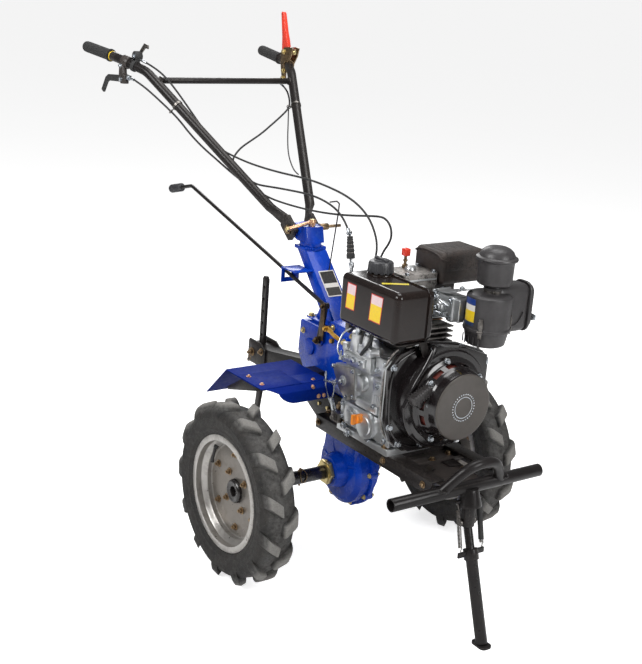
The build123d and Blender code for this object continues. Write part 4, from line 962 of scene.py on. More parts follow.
@dataclass
class Wheels:
    """Both lugged wheels, their rims and nuts, and the axle between them."""

    track: float = 394.0
    lugs: int = 13
    slant: float = 0.78
    lug_top: float = 260.0
    lug_half: float = 15.0
    outer_nuts: float = 107.0
    inner_nuts: float = 58.0
    section: Profile = field(default_factory=lambda: (
        (152.6, 34), (152.6, 40.4), (160, 40.6), (167.9, 41.4), (170, 44.4), (174, 46.6), (178, 47.2),
        (180, 49.4), (184, 49.8), (186.5, 49), (195, 51.6), (204, 53.0), (211, 53.2), (213, 54), (216, 53.8),
        (218, 52.2), (224, 50.4), (229, 47.6), (233, 43), (236.6, 36), (239.2, 26), (240.6, 14), (241, 0)))

    def build(self) -> None:
        """Make both wheels and the axle."""
        for side, word in ((1, "left"), (-1, "right")):
            self.tyre(side, word)
            refined(f"rim_{word}", RIM, 0.9, 3)
            self.nuts(side, word)
            self.hub(side, word)
            refined(f"half_axle_{word}", AXLE_BLACK, 1.2)
        self.axle()

    def tyre(self, side: int, word: str) -> None:
        """A carcass with ringed side walls and thirteen slanting lugs a side."""
        shape = Shape(f"tyre_{word}_treaded")
        inner = [(230, 12), (226, 30), (208, 44), (170, 40), (160, 34)]
        section = list(self.section) + [(r, -y) for r, y in self.section[-2::-1] + tuple(inner[::-1])] + inner
        shape.turned(section, (0, side * self.track, AXLE_Z), (0, side, 0), 104)
        for flank in (-1, 1):
            for number in range(self.lugs):
                turn = (number + 0.5 + side * flank * 0.25) * TURN / self.lugs
                shape.take(self.lug(side, flank, turn))
        shape.piece(TYRE, [f"tyre_{word}"], Body.WHEELSET, 44.0)

    def lug(self, side: int, flank: int, turn: float) -> bmesh.types.BMesh:
        """One slanting bar from the middle of the tread over the shoulder and down the side wall."""
        top = self.lug_top
        outline = [(1.5, 232), (2.5, 252), (5, top - 1.2), (9, top), (33, top), (39, top - 1.6),
                   (44.5, top - 8), (49.5, 243), (52.6, 231), (53.6, 219), (53.4, 214), (48, 214), (40, 226),
                   (24, 232)]
        part = bmesh.new()
        extruded(part, [(-self.lug_half, y, r) for y, r in outline], (2 * self.lug_half, 0, 0))
        rounded(part, 2.2, 2, 40.0)
        for corner in part.verts:
            across, y, radius = corner.co
            spread = 1.0 + 0.22 * max(0.0, (top - radius) / 20)
            along = across * spread + self.slant * (y - 26)
            angle = along / 246 + turn
            corner.co = (radius * math.sin(angle), side * self.track + flank * y,
                         AXLE_Z - radius * math.cos(angle))
        return part

    def nuts(self, side: int, word: str) -> None:
        """The brass-coloured nuts and bolts through the disc, seen from both sides."""
        shape = Shape(f"wheel_nuts_{word}", (0, side * self.track, AXLE_Z))
        for radius, count, first in ((self.outer_nuts, 6, 95), (self.inner_nuts, 4, 40)):
            for number in range(count):
                x, z = polar(radius, first + number * 360 / count)
                shape.bolt((x, side * 0.2, z), (0, side, 0), 13, 7, 1.6, 4.5, number)
                if radius == self.outer_nuts:
                    shape.bolt((x, side * -5.2, z), (0, -side, 0), 13, 6, 1.4, 0, number)
        shape.piece(BRASS, body=Body.WHEELSET)

    def hub(self, side: int, word: str) -> None:
        """The valve stem, the wheel's retaining clip and the clip on the sleeve."""
        stem = Shape(f"valve_{word}")
        foot, tip = (-90, side * (self.track + 20), 358), (-84, side * (self.track + 30), 330)
        stem.bar((-91, side * (self.track + 14), 366), foot, 7.5, 5.5)
        stem.bar(foot, tip, 4.2)
        stem.bar(tip, (-83, side * (self.track + 31), 320), 5.0, sides=12)
        stem.piece(BLACK_PLASTIC, body=Body.WHEELSET)
        clip = Shape(f"axle_clip_{word}")
        y = side * 178
        clip.bar((0, y, AXLE_Z - 27), (0, y, AXLE_Z + 29), 3.2)
        clip.wire([(3, y - 3, AXLE_Z + 27), (12, y - 8, AXLE_Z + 20), (21.5, y - 10, AXLE_Z + 2),
                   (19, y - 3, AXLE_Z - 14), (22, y + 8, AXLE_Z - 3), (21, y + 12, AXLE_Z + 12),
                   (13, y + 8, AXLE_Z + 23), (3, y + 3, AXLE_Z + 27)], 1.4)
        clip.bolt((0, y, AXLE_Z + 19.6), UP, 9, 4, 1)
        clip.piece(BRASS, body=Body.WHEELSET)

    def axle(self) -> None:
        """The shaft, the hexagon collars and their washers."""
        refined("axle_shaft", RAW_STEEL, 0.6)
        refined("hex_collars", YELLOW_ZINC, 1.6, 3)
        lock = Shape("collar_washers")
        for side in (-1, 1):
            lock.turned(((21, 0), (30, 0), (30, 3), (21, 3)), (0, side * 94, AXLE_Z), (0, side, 0), 48)
            lock.bolt((0, side * 86.5, AXLE_Z + 32.6), UP, 8, 4, 0)
        lock.piece(YELLOW_ZINC, body=Body.WHEELSET)


@dataclass
class GearCase:
    """The blue gear case with its cover, bolts, column, change lever and hitch."""

    half_width: float = 70.0
    cover_bolts: int = 8
    seam_radius: float = 107.0
    column_x: float = -283.0

    def build(self) -> None:
        """Make the case, the column and what hangs on them."""
        for node, edge, steps in (
                ("gearbox_final", 3.2, 3), ("gearbox_upper", 2.0, 2), ("clutch_housing", 2.0, 2),
                ("handlebar_column", 2.4, 3), ("lever_guide", 0.8, 2)):
            refined(node, BLUE, edge, steps)
        self.cover()
        self.case_details()
        self.column_details()
        self.change_lever()
        self.hitch()

    def cover(self) -> None:
        """The final drive's bolted cover: lugs round the seam, a raised boss and drain pads."""
        lugs, bolts = (Shape(f"final_drive_{word}", (0, 0, AXLE_Z)) for word in ("lugs", "bolts"))
        for number in range(self.cover_bolts):
            x, z = polar(self.seam_radius, 200 + number * 292 / (self.cover_bolts - 1))
            lugs.bar((x, -5, z), (x, 21, z), 11.5, 10.5, edge=2.0)
            bolts.bolt((x, 21, z), LEFT, 10, 6, 1.4, 2.5, number)
            bolts.bolt((x, -5, z), RIGHT, 10, 5, 1.2, 0, number)
        lugs.turned(((60, 38), (84, 32), (86, 44), (76, 50), (62, 52)), (0, 0, 0), LEFT)
        for x, radius in ((-34, 13), (6, 15)):
            lugs.bar((x, -34, -86), (x, -6, -88), radius, radius - 1.5, edge=2.0)
            bolts.bolt((x, -34, -86), RIGHT, 11, 5, 1.2)
        for angle in (25, 65, 115, 155):
            (x, z), (far_x, far_z) = polar(34, angle), polar(92, angle)
            lugs.bar((x, -44, z), (far_x, -39, far_z), 4.5, 3.0)
        lugs.piece(BLUE)
        bolts.piece(YELLOW_ZINC)

    def case_details(self) -> None:
        """Raised pads, ribs and flange on the upper case, with its bolts and change fork."""
        half = self.half_width
        pads, bolts, fork = Shape("case_pads"), Shape("case_bolts"), Shape("change_fork", (0, -half, 0))
        for side, eye_radius, eye_height in ((-1, 26, 6), (1, 30, 7)):
            root, out = side * (half - 2), (0, side, 0)
            pads.box((-84, 84), sorted((root, side * (half + 4))), (440, 458), 2.0)
            pads.bar((-150, root, 600), (-150, side * (half + eye_height), 600), eye_radius, edge=2.5,
                     sides=40)
            pads.bar((20, root, 560), (20, side * (half + 7), 560), 40, edge=3.0, sides=48)
            bolts.bolts([(x, side * (half + 4), 449) for x in (-70, -28, 28, 70)], out, across=10, head=5)
            bolts.bolts([(x, side * half, z) for x, z in ((-188, 640), (-40, 690), (52, 690))], out,
                        across=11, head=5)
        pads.box((-196, -66), (-58, 58), (678, 683), 1.5)
        pads.bars(Axis.Y, ((-98, 636, 2 - half, -5 - half, 17), (30, 668, 2 - half, -9 - half, 15)), edge=2.0)
        pads.piece(BLUE)
        for x in (-186, -74):
            bolts.bolts([(x, y, 683) for y in (-46, 46)], UP, across=13, head=7)
        bolts.bolt((30, -9 - half, 668), RIGHT, 12, 7, 1.5)
        bolts.piece(YELLOW_ZINC)
        fork.plate(Axis.Y, -9, ((-64, 690), (-52, 694), (-20, 682), (10, 676), (12, 664), (-18, 668),
                                (-40, 676), (-62, 676)), -5, 1.2)
        fork.bars(Axis.Y, ((-58, 684, 2, -16, 7.5), (-36, 652, 2, -10, 7)))
        fork.bolt((-58, -16, 684), RIGHT, 10, 5, 1)
        fork.piece(GOLD_ZINC)

    def column_details(self) -> None:
        """The blank rating plate on the column, its rim, the serrated ring under the head and gussets."""
        plates = (("column_plate", -197.5, 810.5, -140.5, 752.5, -21, 27, 1.1, COLUMN_LABEL),
                  ("column_plate_rim", -200, 813, -138, 750, -24, 30, 0.8, PLATE_RIM))
        for name, top_x, top_z, low_x, low_z, right, left, lift, finish in plates:
            plate = Shape(name)
            plate.slab([(top_x, right, top_z), (top_x, left, top_z), (low_x, left, low_z),
                        (low_x, right, low_z)], (lift, 0, lift), 0.2, 1)
            plate.piece(finish)
        ring = Shape("swivel_serration", (self.column_x, 0, 0))
        for number in range(44):
            x, y = polar(36, number * 360 / 44)
            ring.bar((x, y, 862.5), (x, y, 871.5), 2.3, sides=8, edge=0.4)
        ring.piece(BLUE)
        gusset = Shape("column_gussets")
        for side in (-1, 1):
            gusset.plate(Axis.Y, side * 37, ((-172, 680), (-86, 680), (-108, 724), (-150, 724)), side * 4,
                         1.5)
        gusset.piece(BLUE)

    def change_lever(self) -> None:
        """The change rod with its ribbed knob and plated joint."""
        refined("gear_lever", FRAME_BLACK, 0.5)
        knob = Shape("lever_knob")
        tip, inner = Vector((-1034, -75, 903)), Vector((-963.4, -75, 921.5))
        way = (tip - inner).normalized()
        for number in range(8):
            start = inner + way * (number * 9.1)
            knob.bar(start, start + way * 5.6, 14.6, sides=24, edge=1.8)
        knob.bar(inner - way * 3, tip - way, 11.4, edge=2.5)
        knob.piece(CAP_PLASTIC)
        joint = Shape("lever_joint")
        joint.bar((-82, -82, 744), (-82, -64, 744), 9)
        joint.bolt((-82, -82, 744), RIGHT, 12, 6, 1.6)
        joint.bolt((-98, -84, 636), RIGHT, 14, 7, 1.8, 4)
        joint.box((-94, -72), (-81, -79), (640, 742), 1.0)
        joint.piece(BRONZE)

    def hitch(self) -> None:
        """The hitch arm, the pinned draft bar and the ring pin."""
        refined("rear_hitch", FRAME_BLACK, 2.2, 3)
        refined("depth_stake", FRAME_BLACK, 0.9)
        refined("hitch_pin", YELLOW_ZINC, 0.4)
        iron, pins = Shape("hitch_irons"), Shape("hitch_bolts")
        cheek = ((-550, 426), (-476, 426), (-450, 446), (-450, 486), (-480, 504), (-544, 504), (-550, 496))
        for side in (-1, 1):
            iron.plate(Axis.Y, side * 27, cheek, side * 5, 1.2)
            for x, y, z, across, head, washer, stud in ((-526, 32, 462, 17, 9, 2.4, 6),
                                                        (-470, 32, 478, 14, 7, 2.0, 4),
                                                        (-196, 26, 512, 15, 8, 2.0, 4)):
                pins.bolt((x, side * y, z), (0, side, 0), across, head, washer, stud)
        iron.piece(FRAME_BLACK)
        pins.wire([(-526, -40, 452), (-526, -50, 440), (-526, -44, 430), (-526, -36, 436), (-526, -36, 448)],
                  1.6)
        pins.piece(BRASS)


@dataclass
class Mudguards:
    """The two flat guards with their bolts, seams and black brackets."""

    deck: float = 553.0

    def build(self) -> None:
        """Dress the guards and their irons."""
        refined("mudguards", BLUE_DECK, 1.0, 2, self.round_corners)
        refined("mudguard_brackets", FRAME_BLACK)
        seam, bolts, irons = Shape("guard_seams"), Shape("guard_bolts"), Shape("guard_irons")
        for side in (-1, 1):
            for rear, inner, outer, height in ((-118, 196, 332, 2.0), (-60, 108, 205, 1.4)):
                seam.box((rear, 6), sorted((side * inner, side * outer)),
                         (self.deck - 0.5, self.deck + height), 0.6)
            bolts.bolts([(x, side * 309, self.deck + 2.0) for x in (-100, -29)], UP, across=8, head=3.6,
                        washer=1.0)
            bolts.bolts([(43.5, side * y, 524) for y in (146, 164)], (1, 0, 0.1), across=7.5, head=3.4,
                        washer=1.0)
            bolts.bolt((30, side * 176, 548), (1, 0, 0.8), 7.5, 3.4, 1.0)
            bolts.bolt((-8, side * 150, self.deck + 1.4), UP, 7.5, 3.4, 1.0)
            irons.plate(Axis.Y, side * 296, ((-120, 549), (-60, 549), (-60, 522), (-230, 470), (-236, 478)),
                        -side * 3)
            irons.plate(Axis.Y, side * 118, ((-112, 549), (-64, 549), (-64, 512), (-104, 512)), side * 3)
        seam.piece(BLUE_DECK)
        bolts.piece(COPPER)
        irons.piece(FRAME_BLACK)

    def round_corners(self, mesh: bmesh.types.BMesh) -> None:
        """Turn the cut front corners of both guards into one smooth curve."""
        posts = []
        for edge in mesh.edges:
            low, high = (corner.co for corner in edge.verts)
            middle = (low + high) / 2
            if (low - high).length < 0.0045 and abs(middle.y) > 0.22 and middle.x > place(-60, 0, 0).x:
                posts.append(edge)
        beveled(mesh, posts, 0.03, 6)


@dataclass
class EngineFrame:
    """The rails, cheeks, cross member and bumper, with their bolts and welds."""

    bar_x: float = 512.0
    bar_z: float = 407.0

    def build(self) -> None:
        """Dress the frame."""
        refined("frame_rails", FRAME_BLACK, 1.4)
        refined("side_plates", FRAME_BLACK, 1.4)
        refined("front_bumper", FRAME_BLACK, 1.2)
        self.cross()
        self.bolts()

    def cross(self) -> None:
        """The brown-grey apron and the angle that carries the engine's front feet."""
        refined("cross_member", APRON_BROWN, 1.2)
        angle = Shape("cross_angle")
        angle.boxes(((316, 320, -113, 113, 408, 440, 0.8), (300, 372, -113, -96, 424.5, 429, 0.8),
                     (300, 372, 96, 113, 424.5, 429, 0.8)))
        for outline in (((352, -74), (420, -66), (400, -20), (352, -20)),
                        ((352, 30), (400, 30), (410, 66), (352, 74))):
            angle.plate(Axis.Z, 413, outline, 5, 0.8)
        angle.piece(FRAME_BLACK)

    def bolts(self) -> None:
        """The zinc bolts of the rails, feet, cheeks and apron."""
        zinc = Shape("frame_bolts")
        zinc.bolts([(296, -74, 426), (361, 1, 425), (348, 69, 425), (428, -56, 412), (428, 56, 412)],
                   UP, across=12, head=6)
        for side in (-1, 1):
            out = (0, side, 0)
            zinc.bolts([(x, side * 116, 458) for x in (112, 300)], UP, across=14, head=7)
            zinc.bolts([(x, side * 120, 420) for x in (-8, 300, 470)], out, across=12, head=5)
            zinc.bolts([(x, side * 76, z) for x, z in ((-20, 433), (-20, 393), (-104, 474), (34, 476))], out,
                       across=17, head=8)
        zinc.piece(BRASS)
        welds = Shape("bumper_welds", (self.bar_x + 4, 0, self.bar_z + 13))
        for y in (-97, 114):
            welds.wire([(19 * math.cos(a), y + 17 * math.sin(a), 0)
                        for a in (k * TURN / 10 for k in range(10))], 2.6, closed=True)
        welds.piece(FRAME_BLACK)


@dataclass
class Stand:
    """The folding leg, its socket and its two coil springs."""

    x: float = 524.0
    pivot_z: float = 314.0
    spring_y: float = 37.0
    top: Point = (520.0, 372.0)
    low: Point = (551.8, 241.7)
    coils: int = 28
    coil_radius: float = 5.0
    wire_radius: float = 1.2

    def build(self) -> None:
        """Dress the leg and make the springs."""
        refined("stand_socket", FRAME_BLACK, 0.8)
        refined("stand_leg", FRAME_BLACK, 0.9, 2, self.small_foot)
        self.leg_details()
        for side, word in ((-1, "right"), (1, "left")):
            self.spring(side, word)

    def small_foot(self, mesh: bmesh.types.BMesh) -> None:
        """Draw the foot plate in to the photographed one's size and round its corners."""
        plate = [corner for corner in mesh.verts if corner.co.z < 0.014]
        middle = sum((corner.co for corner in plate), Vector()) / len(plate)
        far = [corner for corner in plate if (corner.co - middle).xy.length > 0.03]
        for corner in far:
            corner.co.x = middle.x + (corner.co.x - middle.x) * 0.86
            corner.co.y *= 0.7
        posts = [edge for edge in mesh.edges if all(corner in far for corner in edge.verts)
                 and (edge.verts[0].co - edge.verts[1].co).xy.length < 0.001]
        beveled(mesh, posts, 0.012, 5)

    def leg_details(self) -> None:
        """Dark rings of painted shade where holes go down the leg, and its pin's washers."""
        pin = Shape("stand_pin_ends", (self.x, 0, self.pivot_z))
        for side in (-1, 1):
            pin.bar((0, side * 20.4, 0), (0, side * 26, 0), 8.5, edge=1.2)
        pin.piece(RAW_STEEL, body=Body.STAND)
        # Painted shade: black rings stand in for the dark insides of the leg's holes.
        holes = Shape("leg_hole_shade_rings", (self.x, 0, self.pivot_z))
        for down in (42, 60, 118, 150, 190, 232):
            share = down / 326.4
            radius = 12.0 if down < 74 else 16.3
            holes.turned(((2.6, -0.6), (4.4, -0.6), (4.4, 0.5), (2.6, 0.5)),
                         (108 * share + radius * 0.944, 0, radius * 0.33 - 308 * share), (1, 0, 0.33), 20)
        holes.piece(BLACK_PLASTIC, body=Body.STAND)

    def spring(self, side: int, word: str) -> None:
        """One pull spring, its coils close together, with hooked ends.

        Args:
            side: 1 on the machine's left, -1 on its right.
            word: The side's name.
        """
        shape = Shape(f"stand_spring_{word}_coil")
        low, top = (Vector((x, side * self.spring_y, z)) for x, z in (self.low, self.top))
        way = (top - low).normalized()
        across = Vector((way.z, 0, -way.x))
        start, end = low + way * 12, top - way * 20
        each = 10
        rise = (end - start).length / (self.coils * each)
        coil = []
        for step in range(self.coils * each + 1):
            around = step * TURN / each
            reach = across * math.cos(around) + Vector(LEFT) * math.sin(around)
            coil.append(start + way * (rise * step) + reach * self.coil_radius)
        shape.wire([low + way * 1.5, low + way * 6 + across * 2, start + across * 4, *coil, end + across * 3,
                    end + way * 9 + across, top - way * 1.5], self.wire_radius, 2)
        if side > 0:
            sleeve = Shape("spring_sheath_tube")
            sleeve.turned(((6.4, 22), (7.4, 22), (7.4, 116), (6.4, 116)), low, way, 32)
            self.bend(sleeve, SHEATH, ())
        self.bend(shape, RAW_STEEL, ["stand_springs"])

    def bend(self, shape: Shape, finish: Finish, nodes: Sequence[str]) -> None:
        """Finish a piece that stretches between the chassis and the leg."""
        made = settled(shape.name, shape.placed(), None, finish, nodes)
        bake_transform(made)


@dataclass
class Engine:
    """The diesel's castings: block, pump side, cylinder, head and breather."""

    half_width: float = 112.0
    cover_top: float = 902.0

    def build(self) -> None:
        """Dress the castings and add what is bolted to them."""
        for node, finish, edge, steps in (
                ("crankcase", CAST_ALLOY, 2.2, 3), ("engine_side_casting", CAST_ALLOY, 1.6, 2),
                ("cylinder", HEAD_ALLOY, 0.7, 2), ("cylinder_head", HEAD_ALLOY, 1.8, 2),
                ("intake_elbow", CAST_ALLOY, 5.0, 3), ("oil_cap", ORANGE, 1.6, 3)):
            refined(node, finish, edge, steps)
        self.flange_rim()
        self.pump_castings()
        self.pump_fittings()
        self.left_side()
        self.head_details()
        self.decompression()

    def flange_rim(self) -> None:
        """The rolled rim of the flange behind the blower cover."""
        rim = Shape("flange_rim", (330, 0, 0))
        for route in (((-82, 456), (-144, 494), (-170, 556), (-170, 702), (-139, 741), (-128, 745)),
                      ((150, 718), (178, 692), (178, 538), (141, 479), (79, 452), (-82, 456))):
            rim.wire([(0, *spot) for spot in route], 3.0)
        rim.piece(HEAD_ALLOY)

    def pump_castings(self) -> None:
        """The right side's castings: governor boss, injection pump and pads, with the cover plate."""
        metal = Shape("pump_castings", (0, -self.half_width, 0))
        metal.plate(Axis.Y, -2, ((92, 560), (104, 628), (66, 620), (74, 588)), -14, 3.0)
        metal.boxes(((166, 262, -16, 2, 536, 560, 4), (232, 316, -14, 2, 560, 640, 5),
                     (250, 300, -20, -8, 596, 632, 4), (96, 122, -12, 2, 470, 530, 4),
                     (120, 214, -34, -18, 656, 682, 4), (176, 232, -30, -4, 690, 716, 4),
                     (236, 300, -14, 4, 650, 700, 5)), 3)
        metal.boxes([(x, x + 4, -17, 1, 566, 592, 1.2) for x in (246, 262, 278, 294)]
                    + [(260, 318, -10, 2, 462, 492, 3)])
        for x, z, near, far, radius, end_radius, edge in (
                (115, 590, -20, -27, 15, 15, 2.0), (115, 590, -27, -31, 8, 8, 1.2),
                (176, 600, 4, -20, 24, 24, 3.0), (228, 498, -20, -30, 30, 26, 2.0),
                (150, 496, -16, -24, 19, 19, 2.0), (276, 512, -2, -18, 18, 18, 2.5)):
            metal.bar((x, near, z), (x, far, z), radius, end_radius, edge=edge)
        metal.bar((130, -4, 478), (296, -4, 470), 7.5, edge=2.0)
        metal.bar((200, -18, 716), (206, -20, 750), 14, 12, edge=2.0)
        metal.bar((214, -20, 700), (262, -16, 718), 11, edge=2.0)
        metal.bar((120, -27, 683), (120, -27, 704), 10.5, edge=1.2, sides=6)
        metal.piece(CAST_ALLOY)
        plate = Shape("governor_cover", (0, -self.half_width, 0))
        plate.plate(Axis.Y, -23, ((58, 623), (163, 640), (172, 552), (132, 540), (96, 566)), -2.6, 0.7)
        plate.piece(GOVERNOR_STEEL)

    def pump_fittings(self) -> None:
        """The plated studs, unions, pipes, levers and screws of the right side, and the mount's clamp."""
        bright, stays = (Shape(name, (0, -self.half_width, 0))
                         for name in ("pump_fittings", "engine_mount_clamp"))
        bright.bolts([(x, -25.6, z) for x, z in ((66, 618), (156, 630), (163, 558), (134, 548))], RIGHT,
                     across=8, head=4, washer=0.8)
        bright.bolt((115, -31, 590), RIGHT, 12, 6, 1.0, 3)
        for x, z, tall in ((86, 640, 28), (121, 644, 26), (104, 640, 18)):
            bright.bar((x, -16, z), (x - 1, -16, z + tall), 3.0, sides=16)
            bright.bar((x, -16, z + 2), (x, -16, z + 9), 7, sides=6)
        bright.bar((158, -18, 742), (160, -19, 758), 9.5, sides=6)
        bright.bar((160, -19, 758), (161, -19.5, 768), 6.5, sides=20)
        bright.bar((206, -20, 750), (207, -20, 760), 9, sides=6)
        bright.bars(Axis.Y, ((136, 669, -34, -44, 7.5), (168, 669, -34, -40, 9), (200, 669, -34, -42, 7)),
                    sides=6)
        bright.wire([(160, -19, 766), (161, -20, 782), (164, -4, 792), (176, 20, 792), (182, 38, 800),
                     (182, 54, 818), (182, 60, 842)], 3.2)
        bright.wire([(136, -44, 669), (136, -56, 669), (120, -58, 690), (112, -44, 716), (116, -30, 738),
                     (134, -24, 748)], 2.6)
        bright.wire([(29, -22, 590), (29, -22, 560), (34, -20, 534), (44, -18, 514), (58, -16, 500)], 2.6)
        bright.wire([(60, -18, 516), (70, -19, 540), (66, -19, 562), (74, -19, 580)], 2.2)
        bright.bar((29, -22, 584), (29, -22, 566), 4.6, 3.8)
        bright.bar((24, -22, 560), (74, -16, 566), 3.4)
        bright.bar((60, -18, 564), (60, -10, 564), 8, sides=20)
        bright.plate(Axis.Y, -20, ((50, 520), (66, 520), (96, 470), (96, 456), (76, 462)), 4, 1.0)
        bright.bolts([(135, -24, 464), (148, -20, 446), (237, -14, 458)], RIGHT, across=13, head=7)
        bright.bolts([(246, -14, 556), (262, -20, 622), (292, -20, 606), (108, -12, 520), (108, -12, 482),
                      (300, -10, 478), (284, -14, 690), (250, -14, 662)], RIGHT, across=10, head=5)
        bright.piece(BRIGHT_ZINC)
        stays.box((70, 104), (-24, 0), (458, 486), 1.5)
        stays.bolt((87, -24, 472), RIGHT, 15, 8, 2.0, 3)
        stays.piece(RAW_STEEL)

    def left_side(self) -> None:
        """The flywheel engine's plain left side, finished as such engines are: ribs, a cover and plugs."""
        metal, bright = (Shape(f"left_{word}", (0, self.half_width, 0)) for word in ("castings", "fittings"))
        metal.boxes([(118, 298, -2, 5, z, z + 5, 1.6) for z in (492, 528, 564, 600, 636)])
        metal.plate(Axis.Y, 0, ((128, 498), (216, 498), (234, 560), (200, 642), (140, 642), (118, 560)), 14,
                    4.0, 3)
        metal.bar((172, 12, 566), (172, 18, 566), 26, edge=2.5)
        metal.boxes(((236, 316, -2, 24, 462, 560, 7), (262, 314, 4, 46, 500, 610, 6)), 3)
        metal.bar((284, 20, 590), (284, 20, 640), 18, 15, edge=3.0)
        metal.piece(CAST_ALLOY)
        bright.bolts([(x, 14, z) for x, z in ((136, 510), (208, 510), (222, 562), (194, 630), (146, 630),
                                              (130, 562))], LEFT, across=10, head=5)
        bright.bolts([(252, 24, 480), (300, 24, 480)], LEFT, across=12, head=6)
        bright.bolt((288, 46, 530), LEFT, 16, 9, 2)
        bright.bolt((172, 18, 566), LEFT, 17, 7, 2)
        bright.piece(BRIGHT_ZINC)

    def head_details(self) -> None:
        """Fins and bolts of the head, the rocker cover's bolts and the injector with its pipe."""
        fins = Shape("head_fins")
        fins.boxes([(104, 222, -50, 116, z, z + 3.4, 0.9) for z in range(778, 839, 12)])
        fins.plate(Axis.Z, 884, ((108, -18), (104, -10), (104, 82), (108, 90), (204, 90), (210, 82),
                                 (210, -10), (204, -18)), 5, 1.2)
        fins.bar((206, 20, 858), (238, 14, 868), 15, 13, edge=2.5)
        fins.box((218, 262), (-44, -10), (790, 846), 5.0, 3)
        fins.bar((150, 36, 900), (150, 36, 910), 17, 14, edge=2.0)
        fins.piece(CAST_ALLOY)
        bright = Shape("head_bolts")
        bright.bolts([(x, y, 902) for x in (124, 196) for y in (-12, 82)], UP, across=10, head=5)
        bright.bolts([(x, y, 850) for x in (114, 212) for y in (-38, 106)], UP, across=13, head=8, stud=3)
        bright.bar((182, -52, 842), (182, -40, 862), 8.5, sides=6)
        bright.bar((182, -46, 852), (186, -34, 876), 6.0, sides=20)
        bright.wire([(186, -34, 876), (190, -30, 890), (206, -28, 892), (222, -26, 880), (226, -24, 860)],
                    2.4)
        bright.bolts([(236, -46, 812), (250, -46, 832)], RIGHT, across=10, head=5)
        bright.piece(BRIGHT_ZINC)
        gasket = Shape("head_gasket")
        gasket.box((107, 221), (-47, 113), (770, 772.5), 0.4)
        gasket.piece(COPPER)

    def decompression(self) -> None:
        """The red knob on its brass stem."""
        knob, stem = (Shape(f"decompression_{word}", (126, 36, self.cover_top)) for word in ("knob", "stem"))
        knob.box((-10, 10), (-9, 9), (33, 54), 2.6, 3)
        knob.piece(RED, ["decompression_lever"])
        stem.bar((0, 0, -1), (0, 0, 9), 9, sides=6)
        stem.bar((0, 0, 8), (0, 0, 35), 4.2)
        stem.bar((0, 0, 18), (0, 0, 23), 6.4)
        stem.piece(BRASS)


